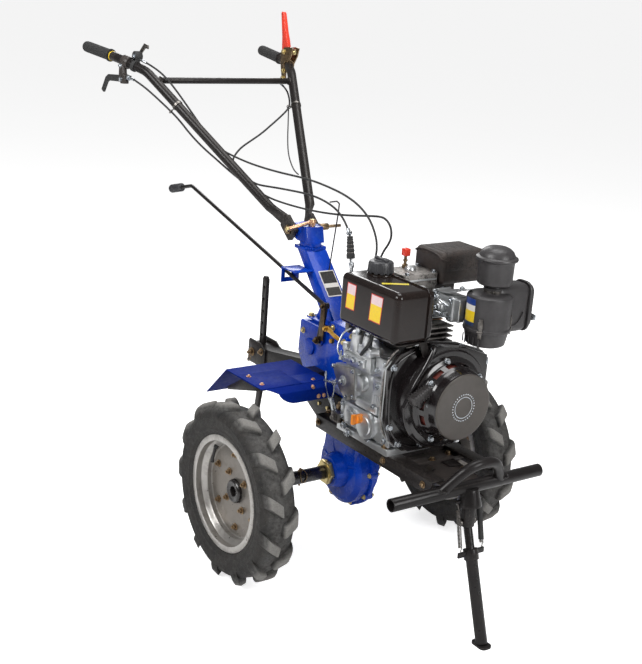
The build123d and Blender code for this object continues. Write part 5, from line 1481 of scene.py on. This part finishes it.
@dataclass
class Blower:
    """The glossy blower cover, the recoil housing on it and its pull grip."""

    crank_z: float = 611.0
    volute_x: float = 392.0
    windows: int = 14
    ears: Sequence[int] = (28, 100, 172, 244, 316)
    ear_ring: float = 112.0

    def build(self) -> None:
        """Make the cover, the slotted housing, its screens and its grip."""
        refined("fan_shroud", GLOSS, 5.0, 4)
        self.housing()
        self.dish_front()
        self.grip()
        self.bolts()
        self.ribs()

    def housing(self) -> None:
        """The recoil housing: a flange, a wall with slots all round and a stepped shoulder."""
        wall = bmesh.new()
        profile = ((118, 0.2), (118, 6), (115, 8.5), (109, 9.5), (106, 12), (104.5, 15), (101.5, 31),
                   (99.5, 35), (97, 38), (95.5, 44), (94, 58), (93, 63), (90.5, 65.4), (80, 65.6))
        corners = [wall.verts.new((radius, 0.0, reach)) for radius, reach in profile]
        lines = [wall.edges.new(pair) for pair in zip(corners, corners[1:])]
        steps = self.windows * 6
        bmesh.ops.spin(wall, geom=corners + lines, cent=(0, 0, 0), axis=(0, 0, 1), dvec=(0, 0, 0), angle=TURN,
                       steps=steps, use_merge=True, use_duplicate=False)
        bmesh.ops.remove_doubles(wall, verts=wall.verts, dist=1e-4)
        holes = []
        for face in wall.faces:
            middle = face.calc_center_median()
            step = int(math.atan2(middle.y, middle.x) % TURN / TURN * steps)
            if 15.0 < middle.z < 31.0 and step % 6 < 4:
                holes.append(face)
        bmesh.ops.delete(wall, geom=holes, context="FACES")
        bmesh.ops.recalc_face_normals(wall, faces=wall.faces[:])
        bmesh.ops.solidify(wall, geom=wall.faces[:], thickness=2.2)
        bmesh.ops.rotate(wall, matrix=Matrix.Rotation(math.pi / 2, 3, "Y"), verts=wall.verts)
        origin = (self.volute_x, 0, self.crank_z)
        shape, screen = (Shape(name, origin) for name in ("recoil_housing", "recoil_screen"))
        shape.take(wall, False)
        for angle in self.ears:
            y, up = polar(self.ear_ring, angle)
            shape.bar((0, y, up), (10, y, up), 11, 9.5, edge=1.8)
        shape.piece(GLOSS, ["recoil_starter"])
        screen.turned(((96, 8), (98.5, 8), (95.5, 36), (93, 36)), (0, 0, 0), AHEAD, 96)
        screen.piece(MESH_RED)

    def dish_front(self) -> None:
        """The plain front dish with its rolled edge and a bare ring where a badge might go."""
        dish, ring = (Shape(f"recoil_{word}", (self.volute_x, 0, self.crank_z)) for word in ("dish", "ring"))
        dish.turned(((84, 60), (90.9, 65.4), (90.7, 67.8), (88.6, 69.4), (84, 69.6), (82, 69), (0, 69.6),
                     (0, 58)), (0, 0, 0), AHEAD, 96)
        dish.piece(DISC_GREY)
        ring.turned(((28, 69), (30, 69), (30, 70), (28, 70)), (0, 0, 0), AHEAD, 72)
        for number in range(30):
            y, z = polar(36.5, number * 360 / 30)
            ring.bar((68.6, y, z), (70, y, z), 2.2, sides=10, edge=0.2)
        ring.piece(BRIGHT_ZINC)

    def grip(self) -> None:
        """The ribbed pull grip in its bracket, with the cord's stub."""
        turn = Matrix.Rotation(math.radians(26), 4, "X")
        middle = (self.volute_x + 27, -114.0, self.crank_z + 36)
        grip, guide = (Shape(f"starter_{word}", middle) for word in ("grip", "guide"))
        grip.box((-12, 12), (-34, 34), (-12, 12), 4.5, 3, turn)
        for number in range(7):
            _, y, z = turn @ Vector((0, number * 8 - 24, 0))
            grip.box((-13.2, 13.2), (y - 1.8, y + 1.8), (z - 13.2, z + 13.2), 1.2, 2, turn)
        grip.piece(GRIP_GREY, ["starter_handle"])
        guide.box((-14, 8), (24, 46), (-14, 16), 3.0, 3, turn)
        guide.box((-25, -4), (-2, 36), (-34, -12), 4.0, 3, turn)
        guide.piece(GRIP_GREY)

    def bolts(self) -> None:
        """Silver screws round the cover and the recoil housing."""
        screws = Shape("cover_screws")
        screws.bolts([(350, -154, 705), (350, -152, 540), (350, -118, 487), (350, -41, 474), (350, 84, 470),
                      (350, 164, 560), (350, 164, 682), (350, -60, 747), (350, 70, 735)],
                     AHEAD, across=12, head=7, washer=2)
        for angle in self.ears:
            y, up = polar(self.ear_ring, angle)
            screws.bolt((self.volute_x + 10, y, self.crank_z + up), AHEAD, 11, 6, 1.6, 0, angle)
        screws.bolts([(428, -90, 618), (420, -84, 676), (424, -66, 664)], AHEAD, across=10, head=5)
        screws.piece(BRIGHT_ZINC)

    def ribs(self) -> None:
        """Pressed ridges on the cover: the duct's edge beads and the volute's step."""
        beads = Shape("cover_beads")
        beads.wire([(388, -140, 606), (390, -118, 660), (389, -84, 706), (388, -58, 752), (384, -52, 758)],
                   6.5)
        beads.wire([(352, -160, 560), (352, -160, 694), (352, -136, 728), (352, -50, 754), (352, 60, 738),
                    (352, 146, 708), (352, 168, 684), (352, 168, 548), (352, 136, 490), (352, 76, 463),
                    (352, -76, 467), (352, -134, 504)], 3.2, closed=True)
        beads.turned(((134, -2), (137.5, -2), (137.5, 1.4), (134, 1.4)), (self.volute_x - 6, 0, self.crank_z),
                     AHEAD, 96)
        beads.piece(GLOSS)


@dataclass
class Fuel:
    """The sheet tank with its seam, blank stickers and ribbed cap."""

    seam_y: float = -84.0
    cap: Point = (188.0, -97.0)
    cap_z: Point = (918.0, 950.0)
    low: Point = (132.0, -186.0, 774.0)
    high: Point = (380.0, -58.0, 912.0)

    def build(self) -> None:
        """Dress the tank."""
        refined("fuel_tank", TANK_GLOSS, 0.0)
        refined("tank_bracket", FRAME_BLACK, 1.0)
        self.seam()
        self.cap_top()
        self.stickers()
        self.straps()

    def seam(self) -> None:
        """The folded flange where the tank's two halves meet."""
        x0, x1, z0, z1 = self.low[0], self.high[0], self.low[2], self.high[2]
        part = bmesh.new()
        outline = ((x0 - 5, z0 - 4), (x1 + 5, z0 - 4), (x1 + 5, z1 + 4), (x0 - 5, z1 + 4))
        face = part.faces.new([part.verts.new((x, self.seam_y, z)) for x, z in outline])
        bmesh.ops.bevel(part, geom=list(face.verts), offset=24, offset_type="OFFSET", segments=8, profile=0.5,
                        affect="VERTICES", material=-1)
        grown = bmesh.ops.extrude_face_region(part, geom=part.faces[:])["geom"]
        moved = [item for item in grown if isinstance(item, bmesh.types.BMVert)]
        bmesh.ops.translate(part, vec=(0, 3.6, 0), verts=moved)
        bmesh.ops.recalc_face_normals(part, faces=part.faces[:])
        rounded(part, 1.2, 3, 40.0)
        shape = Shape("tank_seam")
        shape.take(part)
        shape.piece(TANK_GLOSS)

    def cap_top(self) -> None:
        """The moulded cap: twelve lobes, a raised grip across it and a breather."""
        low, high = self.cap_z
        cap, neck = (Shape(name, (*self.cap, 0)) for name in ("fuel_cap_moulded", "filler_neck"))
        cap.turned(((31, 0), (33, 1), (33, 24), (31, 28), (26, 30), (0, 31), (0, 0)), (0, 0, low), UP, 72)
        for number in range(12):
            angle = number * 360 / 12
            cap.bar((*polar(31, angle), low - 3), (*polar(30, angle), low + 26), 5.0, 3.8, 16, 1.4)
        cap.box((-26, 26), (-6, 6), (high - 4, high + 5), 3.0, 3)
        cap.turned(((16, 0), (21, 0), (21, 2.4), (16, 2.4)), (0, 0, high - 2), UP, 48)
        cap.piece(CAP_PLASTIC, ["fuel_cap"])
        neck.turned(((28, -3), (37, -3), (36, 1), (32, 2.4), (28, 2.4)), (0, 0, 912.6), UP)
        neck.piece(TANK_GLOSS)

    def stickers(self) -> None:
        """The blank stickers on the tank's side and the strip on its top."""
        side, border = Shape("tank_stickers"), Shape("tank_sticker_borders")
        y = self.low[1] - 0.1
        for shape, depth, edge, outline in (
                (border, -0.3, 0.1, ((164, 820.5), (203, 820.5), (206.5, 891.5), (167.5, 891.5))),
                (border, -0.3, 0.1, ((268, 815.5), (317, 815.5), (322.5, 888.5), (272.5, 888.5))),
                (side, -0.6, 0.15, ((166, 823), (201, 823), (204, 889), (170, 889))),
                (side, -0.6, 0.15, ((270, 818), (315, 818), (320, 886), (275, 886)))):
            shape.plate(Axis.Y, y, outline, depth, edge, 1)
        border.piece(RED_RIM)
        side.piece(TANK_LABEL)
        strip = Shape("tank_strip")
        strip.plate(Axis.Z, self.high[2] + 0.1, ((270, -154), (280, -162), (312, -98), (302, -90)), 0.5, 0.15,
                    1)
        strip.piece(STRIP_LABEL)

    def straps(self) -> None:
        """The tank's tap, pipe and mounting bolts."""
        pipe = Shape("fuel_pipe")
        pipe.wire([(232, -140, 772), (232, -140, 756), (230, -140, 740), (222, -146, 722), (206, -146, 706),
                   (196, -144, 692)], 4.6)
        pipe.wire([(330, -110, 776), (332, -110, 758), (326, -112, 742), (306, -124, 724), (280, -128, 712),
                   (262, -128, 706)], 4.6)
        pipe.piece(SHEATH)
        tap = Shape("fuel_tap")
        tap.bar((232, -140, 776), (232, -140, 762), 10, sides=6)
        tap.bar((330, -110, 776), (330, -110, 764), 9, sides=6)
        tap.bolts([(330, -150, 774), (160, -150, 774)], DOWN, across=12, head=6)
        tap.piece(BRIGHT_ZINC)
        feet = Shape("tank_feet")
        feet.slab([(318, -170, 771), (376, -170, 771), (376, -66, 771), (318, -66, 771)], (0, 0, 3), 0.8)
        feet.slab([(366, -96, 774), (372, -96, 774), (372, -66, 712), (366, -66, 712)], (0, 24, 0), 0.8)
        feet.piece(FRAME_BLACK)


@dataclass
class Breathing:
    """The oil-bath air cleaner with its bowl and dome, and the silencer."""

    x: float = 372.0
    y: float = 134.0
    pre: Point = (368.0, 148.0)
    muffler_low: Point = (88.0, 96.0, 864.0)
    muffler_high: Point = (214.0, 262.0, 956.0)

    def build(self) -> None:
        """Make the cleaner, the bowl above it and the silencer."""
        self.cleaner()
        self.intake()
        self.bowl()
        self.cleaner_fittings()
        self.silencer()

    def cleaner(self) -> None:
        """The round body with its beads and dish, and the box housing behind it."""
        body = Shape("cleaner_body")
        body.turned(((0, 745), (49, 745), (53, 748), (58.5, 776), (60.6, 783), (63.6, 785), (64.6, 789),
                     (63.6, 793), (61.4, 795), (61, 838), (61.4, 868), (62, 873), (60.6, 879), (56, 883),
                     (48, 885.5), (30, 887), (0, 887)), (self.x, self.y, 0), UP, 96)
        body.bar((*self.pre, 880), (*self.pre, 908), 24, 22, edge=2.0)
        body.turned(((21, 893), (27, 893), (27, 899), (21, 899)), (*self.pre, 0), UP, 48)
        for number in range(5):
            ahead, left = polar(62.5, -60 - number * 14)
            x, y = self.x + ahead, self.y + left
            body.box((x - 1.4, x + 1.4), (y - 1.4, y + 1.4), (750, 774), 0.8)
        body.piece(CLEANER_PLASTIC, ["air_cleaner"])
        box = Shape("cleaner_box")
        box.box((332, 398), (140, 262), (770, 904), 20.0, 5)
        box.plate(Axis.Y, 256, rounded_outline((329, 767), (401, 907), 26), 9, 3.0)
        box.plate(Axis.Y, 263, rounded_outline((336, 775), (394, 899), 22), 16, 6.0, 3)
        box.bar((364, 276, 804), (364, 284, 804), 14, 11, edge=2.0)
        box.wire([(399.5, 170, 800), (400, 196, 790), (400, 226, 800), (400, 236, 828)], 1.8)
        box.piece(CLEANER_PLASTIC)

    def intake(self) -> None:
        """The elbow's flange, its gusset plate, and the rods and springs beside it."""
        alloy = Shape("intake_castings")
        alloy.boxes(((221, 231, 60, 124, 788, 864, 3.5), (292, 312, 60, 112, 792, 862, 4.0)), 3)
        alloy.bar((262, 70, 824), (262, 50, 824), 18, 16, edge=2.5)
        alloy.bar((262, 52, 824), (262, 46, 824), 11, edge=1.5)
        alloy.boxes(((236, 254, 54, 68, 838, 856, 3.0), (272, 290, 56, 68, 800, 814, 3.0)))
        alloy.slab([(236, 62, 861), (286, 60, 866), (344, 76, 890), (346, 96, 890), (330, 104, 884),
                    (240, 90, 861)], (0, 0, 3.5), 1.2)
        alloy.piece(CAST_ALLOY)
        bright = Shape("intake_fittings")
        bright.bolts([(231, 66, 856), (231, 66, 796)], AHEAD, across=11, head=6, stud=6)
        bright.bolts([(302, 60, 852), (302, 60, 802)], RIGHT, across=10, head=5)
        bright.bolts([(262, 46, 824), (245, 54, 847)], RIGHT, across=12, head=6, washer=1.6)
        bright.bolt((322, 78, 884), UP, 12, 6, 1.6, 3)
        bright.wire([(245, 48, 847), (262, 42, 852), (286, 44, 846), (304, 50, 838)], 2.0)
        coil = [(262 + step * 0.5, 40 + 5 * math.sin(step * TURN / 8), 812 + 5 * math.cos(step * TURN / 8))
                for step in range(81)]
        bright.wire([(262, 46, 820), (262, 42, 816), *coil, (304, 46, 808), (306, 58, 808)], 1.3, 2)
        bright.piece(BRIGHT_ZINC)

    def bowl(self) -> None:
        """The pre-cleaner: a bowl with a brim and a shallow dome."""
        bowl = Shape("pre_cleaner_bowl")
        bowl.turned(((0, 906), (30, 906), (42, 907), (46.5, 911), (47.6, 920), (48, 950), (48.6, 968),
                     (50.5, 972), (55.5, 974.5), (57, 978), (56, 981.5), (51.6, 983.5), (48.6, 984.5),
                     (47.4, 989), (43, 997), (35, 1004), (26, 1008), (14, 1009.8), (0, 1010)), (*self.pre, 0),
                    UP, 96)
        bowl.box((self.pre[0] - 56, self.pre[0] - 38), (self.pre[1] - 7, self.pre[1] + 7), (962, 990), 2.4)
        bowl.piece(CLEANER_PLASTIC, ["pre_cleaner"])
        clamp = Shape("pre_cleaner_clamp")
        clamp.turned(((24.6, 886.5), (26.6, 886.5), (26.6, 892.5), (24.6, 892.5)), (*self.pre, 0), UP, 56)
        clamp.bolt((self.pre[0] + 22, self.pre[1] - 17, 889.5), (0.8, -0.6, 0), 7, 4, 1.0)
        clamp.piece(RAW_STEEL)

    def cleaner_fittings(self) -> None:
        """The over-centre clips, the wing nut and the blank three-colour sticker."""
        clips = Shape("cleaner_clips", (self.x, self.y, 0))
        for angle in (-58, 62, 182):
            x, y = polar(64.4, angle)
            turn = Matrix.Rotation(math.radians(angle), 4, "Z")
            clips.box((x - 1.2, x + 1.2), (y - 5.5, y + 5.5), (772, 826), 0.8, 2, turn)
            clips.box((x - 2.4, x + 1.6), (y - 7, y + 7), (800, 818), 1.4, 2, turn)
            clips.bar(turn @ Vector((66.4, -8, 791)), turn @ Vector((66.4, 8, 791)), 2.2, sides=14)
        clips.piece(RAW_STEEL)
        wing = Shape("cleaner_wing_nut", (364, 280, 804))
        wing.bar((0, 0, 0), (0, 14, 0), 3.6)
        wing.bar((0, 4, 0), (0, 11, 0), 8.5, 6.5, edge=1.4)
        for side in (-1, 1):
            wing.slab([(side * x, y, z) for x, y, z in ((4, 6, -6), (14, 11, -11), (25, 16, -8), (24, 16, 6),
                                                        (14, 11, 9), (5, 7, 6))], (0, 3.4, 0), 1.3)
        wing.piece(BRIGHT_ZINC)
        label = Shape("cleaner_sticker")
        label.turned(((61.7, 802), (62.4, 802), (62.7, 875), (62.0, 875)), (self.x, self.y, 0), UP, 14,
                     math.radians(36), math.radians(66))
        label.piece(CLEANER_LABEL)

    def silencer(self) -> None:
        """The box silencer, its pressed shield, seam, pipe flange and clamp."""
        low, high = self.muffler_low, self.muffler_high
        refined("muffler", HEAT, 2.0)
        shield = Shape("muffler_shield")
        shield.box((low[0] + 12, high[0] + 3), (low[1] + 10, high[1] - 10), (high[2] - 58, high[2] + 3), 15.0,
                   5)
        shield.piece(SHIELD)
        trim = Shape("muffler_trim")
        trim.wire([(low[0] + 8, low[1] - 1, high[2] - 14), (low[0] + 20, low[1] - 1, high[2] - 2),
                   (high[0] - 16, low[1] - 1, high[2] - 6), (high[0] - 2, low[1] - 1, high[2] - 22),
                   (high[0] + 1, low[1] + 60, high[2] - 22), (high[0] + 1, high[1] - 20, high[2] - 22)], 2.6)
        trim.box((98, 158), (104, 114), (816, 854), 3.0)
        trim.bar((150, 256, 900), (150, 274, 900), 17, edge=1.5)
        trim.turned(((11, 12), (14.5, 12), (14.5, 22), (11, 22)), (150, 256, 900), LEFT, 40)
        trim.piece(HEAT)
        bright = Shape("muffler_bolts")
        bright.bolts([(106, 104, 822), (150, 104, 822)], RIGHT, across=12, head=6, stud=4)
        bright.piece(BRASS)


@dataclass
class Handlebar:
    """The swivelling head, the two long tubes, their controls and grips."""

    swivel_x: float = -283.0
    pivot: Point = (-336.0, 42.0, 912.0)
    elbow: Point = (-858.0, 273.0, 1320.0)
    shoulder: Point = (-958.0, 318.0, 1348.0)
    tip: Point = (-1158.0, 340.0, 1366.0)
    clamp: Point = (-932.5, 306.5, 1340.9)
    grip_length: float = 150.0
    red_top: float = 1514.0

    def build(self) -> None:
        """Make the head, tubes and every control."""
        self.head()
        refined("handlebar_left", TUBE_BLACK)
        refined("handlebar_right", TUBE_BLACK)
        refined("crossbar", TUBE_BLACK, 0.6)
        self.crossbar_welds()
        self.grips()
        self.clutch_side()
        self.brake_side()
        self.throttle()
        refined("cable_clips", RAW_STEEL, 0.0)

    def head(self) -> None:
        """The blue swivel casting, its copper T-bolt and the plated tilt bolt."""
        refined("swivel_head", BLUE, 3.0, 3)
        bolt, ends = (Shape(name, (self.swivel_x, 0, 0)) for name in ("swivel_t_bolt", "swivel_bolt_ends"))
        bolt.bar((0, 0, 828), (0, 0, 951), 8)
        bolt.bar((0, 0, 933), (0, 0, 948), 11.2, edge=1.2)
        bolt.bar((0, 12, 946), (0, -84, 927.5), 5.6, edge=1.2)
        bolt.piece(COPPER, ["swivel_bolt"], Body.SWIVEL)
        ends.bar((0, -82, 928), (0, -92, 926), 5.9, edge=1.4)
        ends.bar((0, 0, 948), (0, 0, 952), 7.4, edge=0.8)
        ends.piece(YELLOW_ZINC, body=Body.SWIVEL)
        tilt = Shape("tilt_bolt_plated", (self.pivot[0], 0, self.pivot[2]))
        for near, far, radius, sides, edge in (
                (-50, 50, 7.9, 28, 0.5), (-52.5, -48.6, 14.5, 40, 0.5), (-57.5, -51, 12, 6, 0.8),
                (48.6, 52.4, 14.5, 40, 0.5), (52, 66, 12, 6, 0.9), (66, 96.5, 10.4, 28, 1.2),
                (96, 144.5, 5.0, 28, 0.6)):
            tilt.bar((0, near, 0), (0, far, 0), radius, sides=sides, edge=edge)
        tilt.piece(BRASS, ["tilt_bolt"], Body.HANDLEBAR)

    def crossbar_welds(self) -> None:
        """Weld beads where the brace meets the tubes."""
        welds = Shape("crossbar_welds")
        x, y, z = self.elbow[0] + 34, self.elbow[1] - 14, self.elbow[2] - 24
        for side in (-1, 1):
            seat = side * (y - 18)
            welds.turned(((9.6, -2.5), (12.6, -1.6), (13.4, 1.5), (9.6, 3.2)), (x, seat, z), (0, side, 0), 40)
        welds.piece(TUBE_BLACK, body=Body.HANDLEBAR)

    def grips(self) -> None:
        """Finger-ribbed grips over the tubes' ends."""
        tip, shoulder = Vector(self.tip), Vector(self.shoulder)
        toward = (shoulder - tip).normalized()
        profile = [(15.2, 1.5), (15.2, self.grip_length), (19.6, self.grip_length),
                   (20.6, self.grip_length - 2.5), (20.6, self.grip_length - 5),
                   (17.2, self.grip_length - 7.5)]
        for rib in range(22):
            reach = self.grip_length - 10 - rib * 6.1
            profile += [(17.1, reach), (18.0, reach - 1.2), (18.0, reach - 3.4), (17.1, reach - 4.6)]
        profile += [(17.2, 3), (17.6, 0), (16.8, -3.4), (13.5, -4.8), (0, -4.9), (0, 1.5)]
        grip = Shape("grips_ribbed")
        for side in (1, -1):
            grip.turned(profile, (tip.x, tip.y * side, tip.z), (toward.x, toward.y * side, toward.z), 48)
        grip.piece(GRIP, ["grips"], Body.HANDLEBAR, 50.0)

    def clutch_side(self) -> None:
        """The upright red lever in its plated bracket on the left tube."""
        refined("clutch_bracket", BRASS, 0.9)
        nuts, lever = (Shape(name, self.clamp) for name in ("clutch_bracket_bolts", "clutch_lever_moulded"))
        for side in (-1, 1):
            nuts.bolt((-8, side * 15, 42), (0, side, 0), 12, 6, 1.6, 2)
        for z in (-22, -46):
            nuts.bolt((4, -20, z), RIGHT, 11, 6, 1.4)
        nuts.bar((22, 0, 44), (42, -1, 42), 4.6, edge=0.6)
        nuts.bar((31, 0, 43), (37, -0.5, 42.6), 8, sides=6)
        nuts.piece(YELLOW_ZINC, body=Body.HANDLEBAR)
        top = self.red_top - self.clamp[2]
        lever.plate(Axis.Y, -7, ((-34, 34), (-6, 26), (4, 50), (-4, 76), (-18, 108), (-38, top - 6),
                                 (-44, top), (-50, top), (-53, top - 6), (-39, 90), (-37, 64)), 14, 2.4, 3)
        lever.plate(Axis.Y, -8.6, ((-30, 84), (-12, 78), (-38, 150), (-45, 154)), 17.2, 1.6)
        lever.piece(RED, ["clutch_lever"], Body.HANDLEBAR)

    def brake_side(self) -> None:
        """The squeeze lever's perch, its blade and the cable's adjuster on the right tube."""
        seat, tip, shoulder, elbow = (mirrored(spot) for spot in (self.clamp, self.tip, self.shoulder,
                                                                  self.elbow))
        perch, blade, screws = (Shape(f"brake_{word}", seat) for word in ("perch", "blade", "fittings"))
        ahead = (elbow - shoulder).normalized()
        perch.bar(ahead * -13, ahead * 13, 20, edge=1.6, sides=40)
        perch.plate(Axis.Y, -20, ((-14, 0), (6, 0), (10, -34), (24, -42), (24, -66), (-2, -68), (-16, -46)),
                    18, 2.4, 3)
        perch.piece(APRON_BROWN, ["brake_lever"], Body.HANDLEBAR)
        blade.plate(Axis.Y, -16, ((12, -40), (-104, -50), (-122, -60), (-152, -104), (-136, -112),
                                  (-110, -76), (-98, -70), (12, -62)), 8, 2.2, 3)
        blade.piece(BLACK_PLASTIC, body=Body.HANDLEBAR)
        screws.bar((20, -9, -44), (56, 0, -50), 4.4, edge=0.5)
        screws.bar((27, -7.4, -45.2), (36, -5.2, -46.6), 9, edge=0.8, sides=20)
        screws.bolt((0, -20, -54), RIGHT, 10, 5, 1.2)
        screws.bolt((-2, -20, -12), RIGHT, 9, 5, 1.0)
        screws.piece(BRIGHT_ZINC, body=Body.HANDLEBAR)
        tag = Shape("grip_tag")
        toward = (shoulder - tip).normalized()
        inner = tip + toward * (self.grip_length + 9)
        tag.bar(inner - toward * 2, inner + toward * 2, 15.9, edge=0.3, sides=40)
        tag.piece(TAG_YELLOW, body=Body.HANDLEBAR)

    def throttle(self) -> None:
        """The thumb lever on the right tube: a round body, its cap screw and the blade."""
        shoulder = mirrored(self.shoulder)
        ahead = (mirrored(self.elbow) - shoulder).normalized()
        seat = shoulder + ahead * 64
        body, blade, screws = (Shape(f"throttle_{word}", seat) for word in ("body", "blade", "screws"))
        body.bar((0, -4, 30), (0, 20, 30), 16, edge=2.0, sides=40)
        body.box((-12, 12), (-4, 12), (8, 30), 2.0)
        body.bar(ahead * -6, ahead * 6, 19, edge=1.4, sides=40)
        body.piece(BLACK_PLASTIC, ["throttle_lever"], Body.HANDLEBAR)
        blade.plate(Axis.Y, 20.2, ((-4, 36), (26, 58), (44, 56), (44, 68), (18, 72), (-12, 46)), 5.6, 1.6, 3)
        blade.piece(RAW_STEEL, body=Body.HANDLEBAR)
        screws.bolt((0, -4, 30), RIGHT, 10, 4, 1.2)
        screws.bolt((0, 20, 30), LEFT, 9, 4, 1.0)
        screws.piece(BRIGHT_ZINC, body=Body.HANDLEBAR)


@dataclass
class Cables:
    """The four control cables, each cut in two between the tilt and the swivel, and what holds their ends."""

    cut_x: float = -340.0
    tilt_run: Point = (-560.0, -360.0)
    swivel_run: Point = (-320.0, -120.0)
    routes: dict[str, tuple[float, list[Point]]] = field(default_factory=lambda: {
        "throttle_cable": (3.0, [
            (-884, -277, 1351), (-852, -262, 1340), (-812, -235, 1314), (-767, -213, 1271),
            (-723, -191, 1222), (-678, -171, 1174), (-632, -149, 1130), (-602, -134, 1109),
            (-559, -117, 1097), (-492, -103, 1088), (-424, -97, 1086), (-356, -95, 1087),
            (-287, -94, 1090), (-218, -94, 1094), (-150, -93, 1095), (-81, -92, 1092), (-13, -89, 1085),
            (48, -85, 1070), (92, -81, 1046), (118, -80, 1021), (135, -79, 993), (142, -80, 972),
            (142, -80, 950), (132, -80, 920), (124, -80, 890), (119, -80, 860.7)]),
        "brake_cable": (3.0, [
            (-876, -306, 1291), (-848, -297, 1281), (-818, -281, 1263), (-773, -252, 1227),
            (-725, -228, 1192), (-683, -206, 1149), (-638, -187, 1116), (-588, -162, 1084),
            (-547, -132, 1050), (-510, -108, 1025), (-488, -86, 1008), (-470, -71, 999),
            (-450, -63, 993), (-426, -60, 990), (-382, -62, 990), (-317, -63, 992), (-253, -62, 995),
            (-189, -62, 1000), (-126, -63, 1007), (-62, -64, 1016), (2, -65, 1027), (62, -66, 1039),
            (98, -66, 1046), (123, -66, 1050), (145, -66, 1051), (166, -66, 1043), (180, -66, 1026),
            (182, -66, 1004), (172, -66, 984), (158, -66, 967), (146, -66, 946), (134, -66, 918),
            (125, -66, 889), (119, -66, 860.7)]),
        "clutch_cable": (3.0, [
            (-932, 282, 1274), (-872, 265, 1264), (-816, 241, 1247), (-766, 214, 1227),
            (-738, 188, 1213), (-710, 142, 1193), (-681, 90, 1172), (-654, 38, 1150), (-628, -17, 1132),
            (-597, -68, 1119), (-580, -97, 1104), (-570, -114, 1089), (-559, -120, 1073),
            (-543, -114, 1058), (-526, -102, 1044), (-510, -88, 1032), (-494, -79, 1025),
            (-472, -75, 1023), (-428, -74, 1027), (-366, -76, 1034), (-303, -78, 1040),
            (-241, -81, 1046), (-179, -84, 1050), (-116, -86, 1049), (-58, -87, 1040), (-23, -87, 1026),
            (8, -86, 1002), (26, -86, 977)]),
        "stop_wire": (2.0, [
            (-753, 201, 1212), (-718, 179, 1193), (-674, 151, 1169), (-618, 115, 1147),
            (-562, 80, 1130), (-506, 46, 1118), (-450, 14, 1109), (-390, -18, 1102), (-332, -48, 1098),
            (-280, -73, 1097), (-244, -88, 1098)]),
    })

    def build(self) -> None:
        """Run every cable and make its fittings."""
        for name, (radius, route) in self.routes.items():
            self.cable(name, radius, route)
        refined("cable_holders", FRAME_BLACK, 0.0)
        self.ends()
        self.clutch_end()

    def cable(self, name: str, radius: float, route: Sequence[Point]) -> None:
        """One cable in two lengths that meet between the tilt and the swivel."""
        line = tube_mesh(name, [place(*spot) for spot in route], radius * MM)
        cut = place(self.cut_x, 0, 0)
        halves = (("bars", 1, "handlebar", "swivel", self.tilt_run),
                  ("column", -1, "swivel", "chassis", self.swivel_run))
        for part, side, near, far, run in halves:
            mesh = bmesh.new()
            mesh.from_mesh(line)
            bmesh.ops.bisect_plane(mesh, geom=mesh.verts[:] + mesh.edges[:] + mesh.faces[:], plane_co=cut,
                                   plane_no=(side, 0, 0), clear_outer=True)
            open_edges = [edge for edge in mesh.edges if edge.is_boundary]
            bmesh.ops.holes_fill(mesh, edges=open_edges, sides=0)
            made = settled(f"{name}_{part}", mesh, None, SHEATH, [name] if side > 0 else ())
            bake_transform(made)
        bpy.data.meshes.remove(line)

    def ends(self) -> None:
        """Ferrules and adjusters at the cables' ends."""
        silver = Shape("cable_ferrules")
        for y in (-80, -66):
            silver.bar((119, y, 850), (119, y, 866), 4.6, sides=6)
            silver.bar((119.6, y, 864), (121, y, 878), 4.2, edge=0.6)
            silver.bar((119, y, 842), (119, y, 856), 2.0)
        silver.piece(BRIGHT_ZINC)
        bars = Shape("control_ferrules")
        bars.bar((-890, -280, 1353), (-868, -269.5, 1345.6), 4.4, edge=0.6)
        bars.bar((-934, 282.4, 1274.3), (-910, 275.6, 1270.6), 4.4, edge=0.6)
        bars.piece(BRIGHT_ZINC, body=Body.HANDLEBAR)

    def clutch_end(self) -> None:
        """The rubber boot, the silver adjuster over it and the fork on the gear case."""
        refined("clutch_link", RAW_STEEL, 0.6)
        boot = Shape("clutch_boot")
        boot.turned(((3.4, 0), (8, 0.4), (8.6, 4), (7.6, 6), (9.4, 10), (8.0, 13), (10.2, 18), (8.6, 22),
                     (11, 28), (9.2, 33), (11.6, 40), (9.8, 45), (12, 52), (11.6, 62), (3.4, 62.5)),
                    (26, -86, 976), (12, 0, -61), 40)
        boot.piece(GRIP)
        silver = Shape("clutch_adjuster")
        silver.bar((14, -86, 994.5), (25, -86, 979), 5.2, edge=0.6)
        silver.bar((20, -86, 986), (23.6, -86, 981), 8.6, sides=6)
        silver.bar((38, -86, 916), (45, -82, 872), 4.2, edge=0.4)
        silver.bar((40, -85, 904), (42.4, -83.6, 890), 8.2, sides=6)
        silver.piece(BRIGHT_ZINC)


def main() -> None:
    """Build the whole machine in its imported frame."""
    logging.basicConfig(level=logging.INFO, format="%(message)s")
    for assembly in (Studio(), Wheels(), GearCase(), Mudguards(), EngineFrame(), Stand(), Engine(), Blower(),
                     Fuel(), Breathing(), Handlebar(), Cables()):
        assembly.build()
        LOG.info("built %s", type(assembly).__name__)


if __name__ == "__main__":
    main()
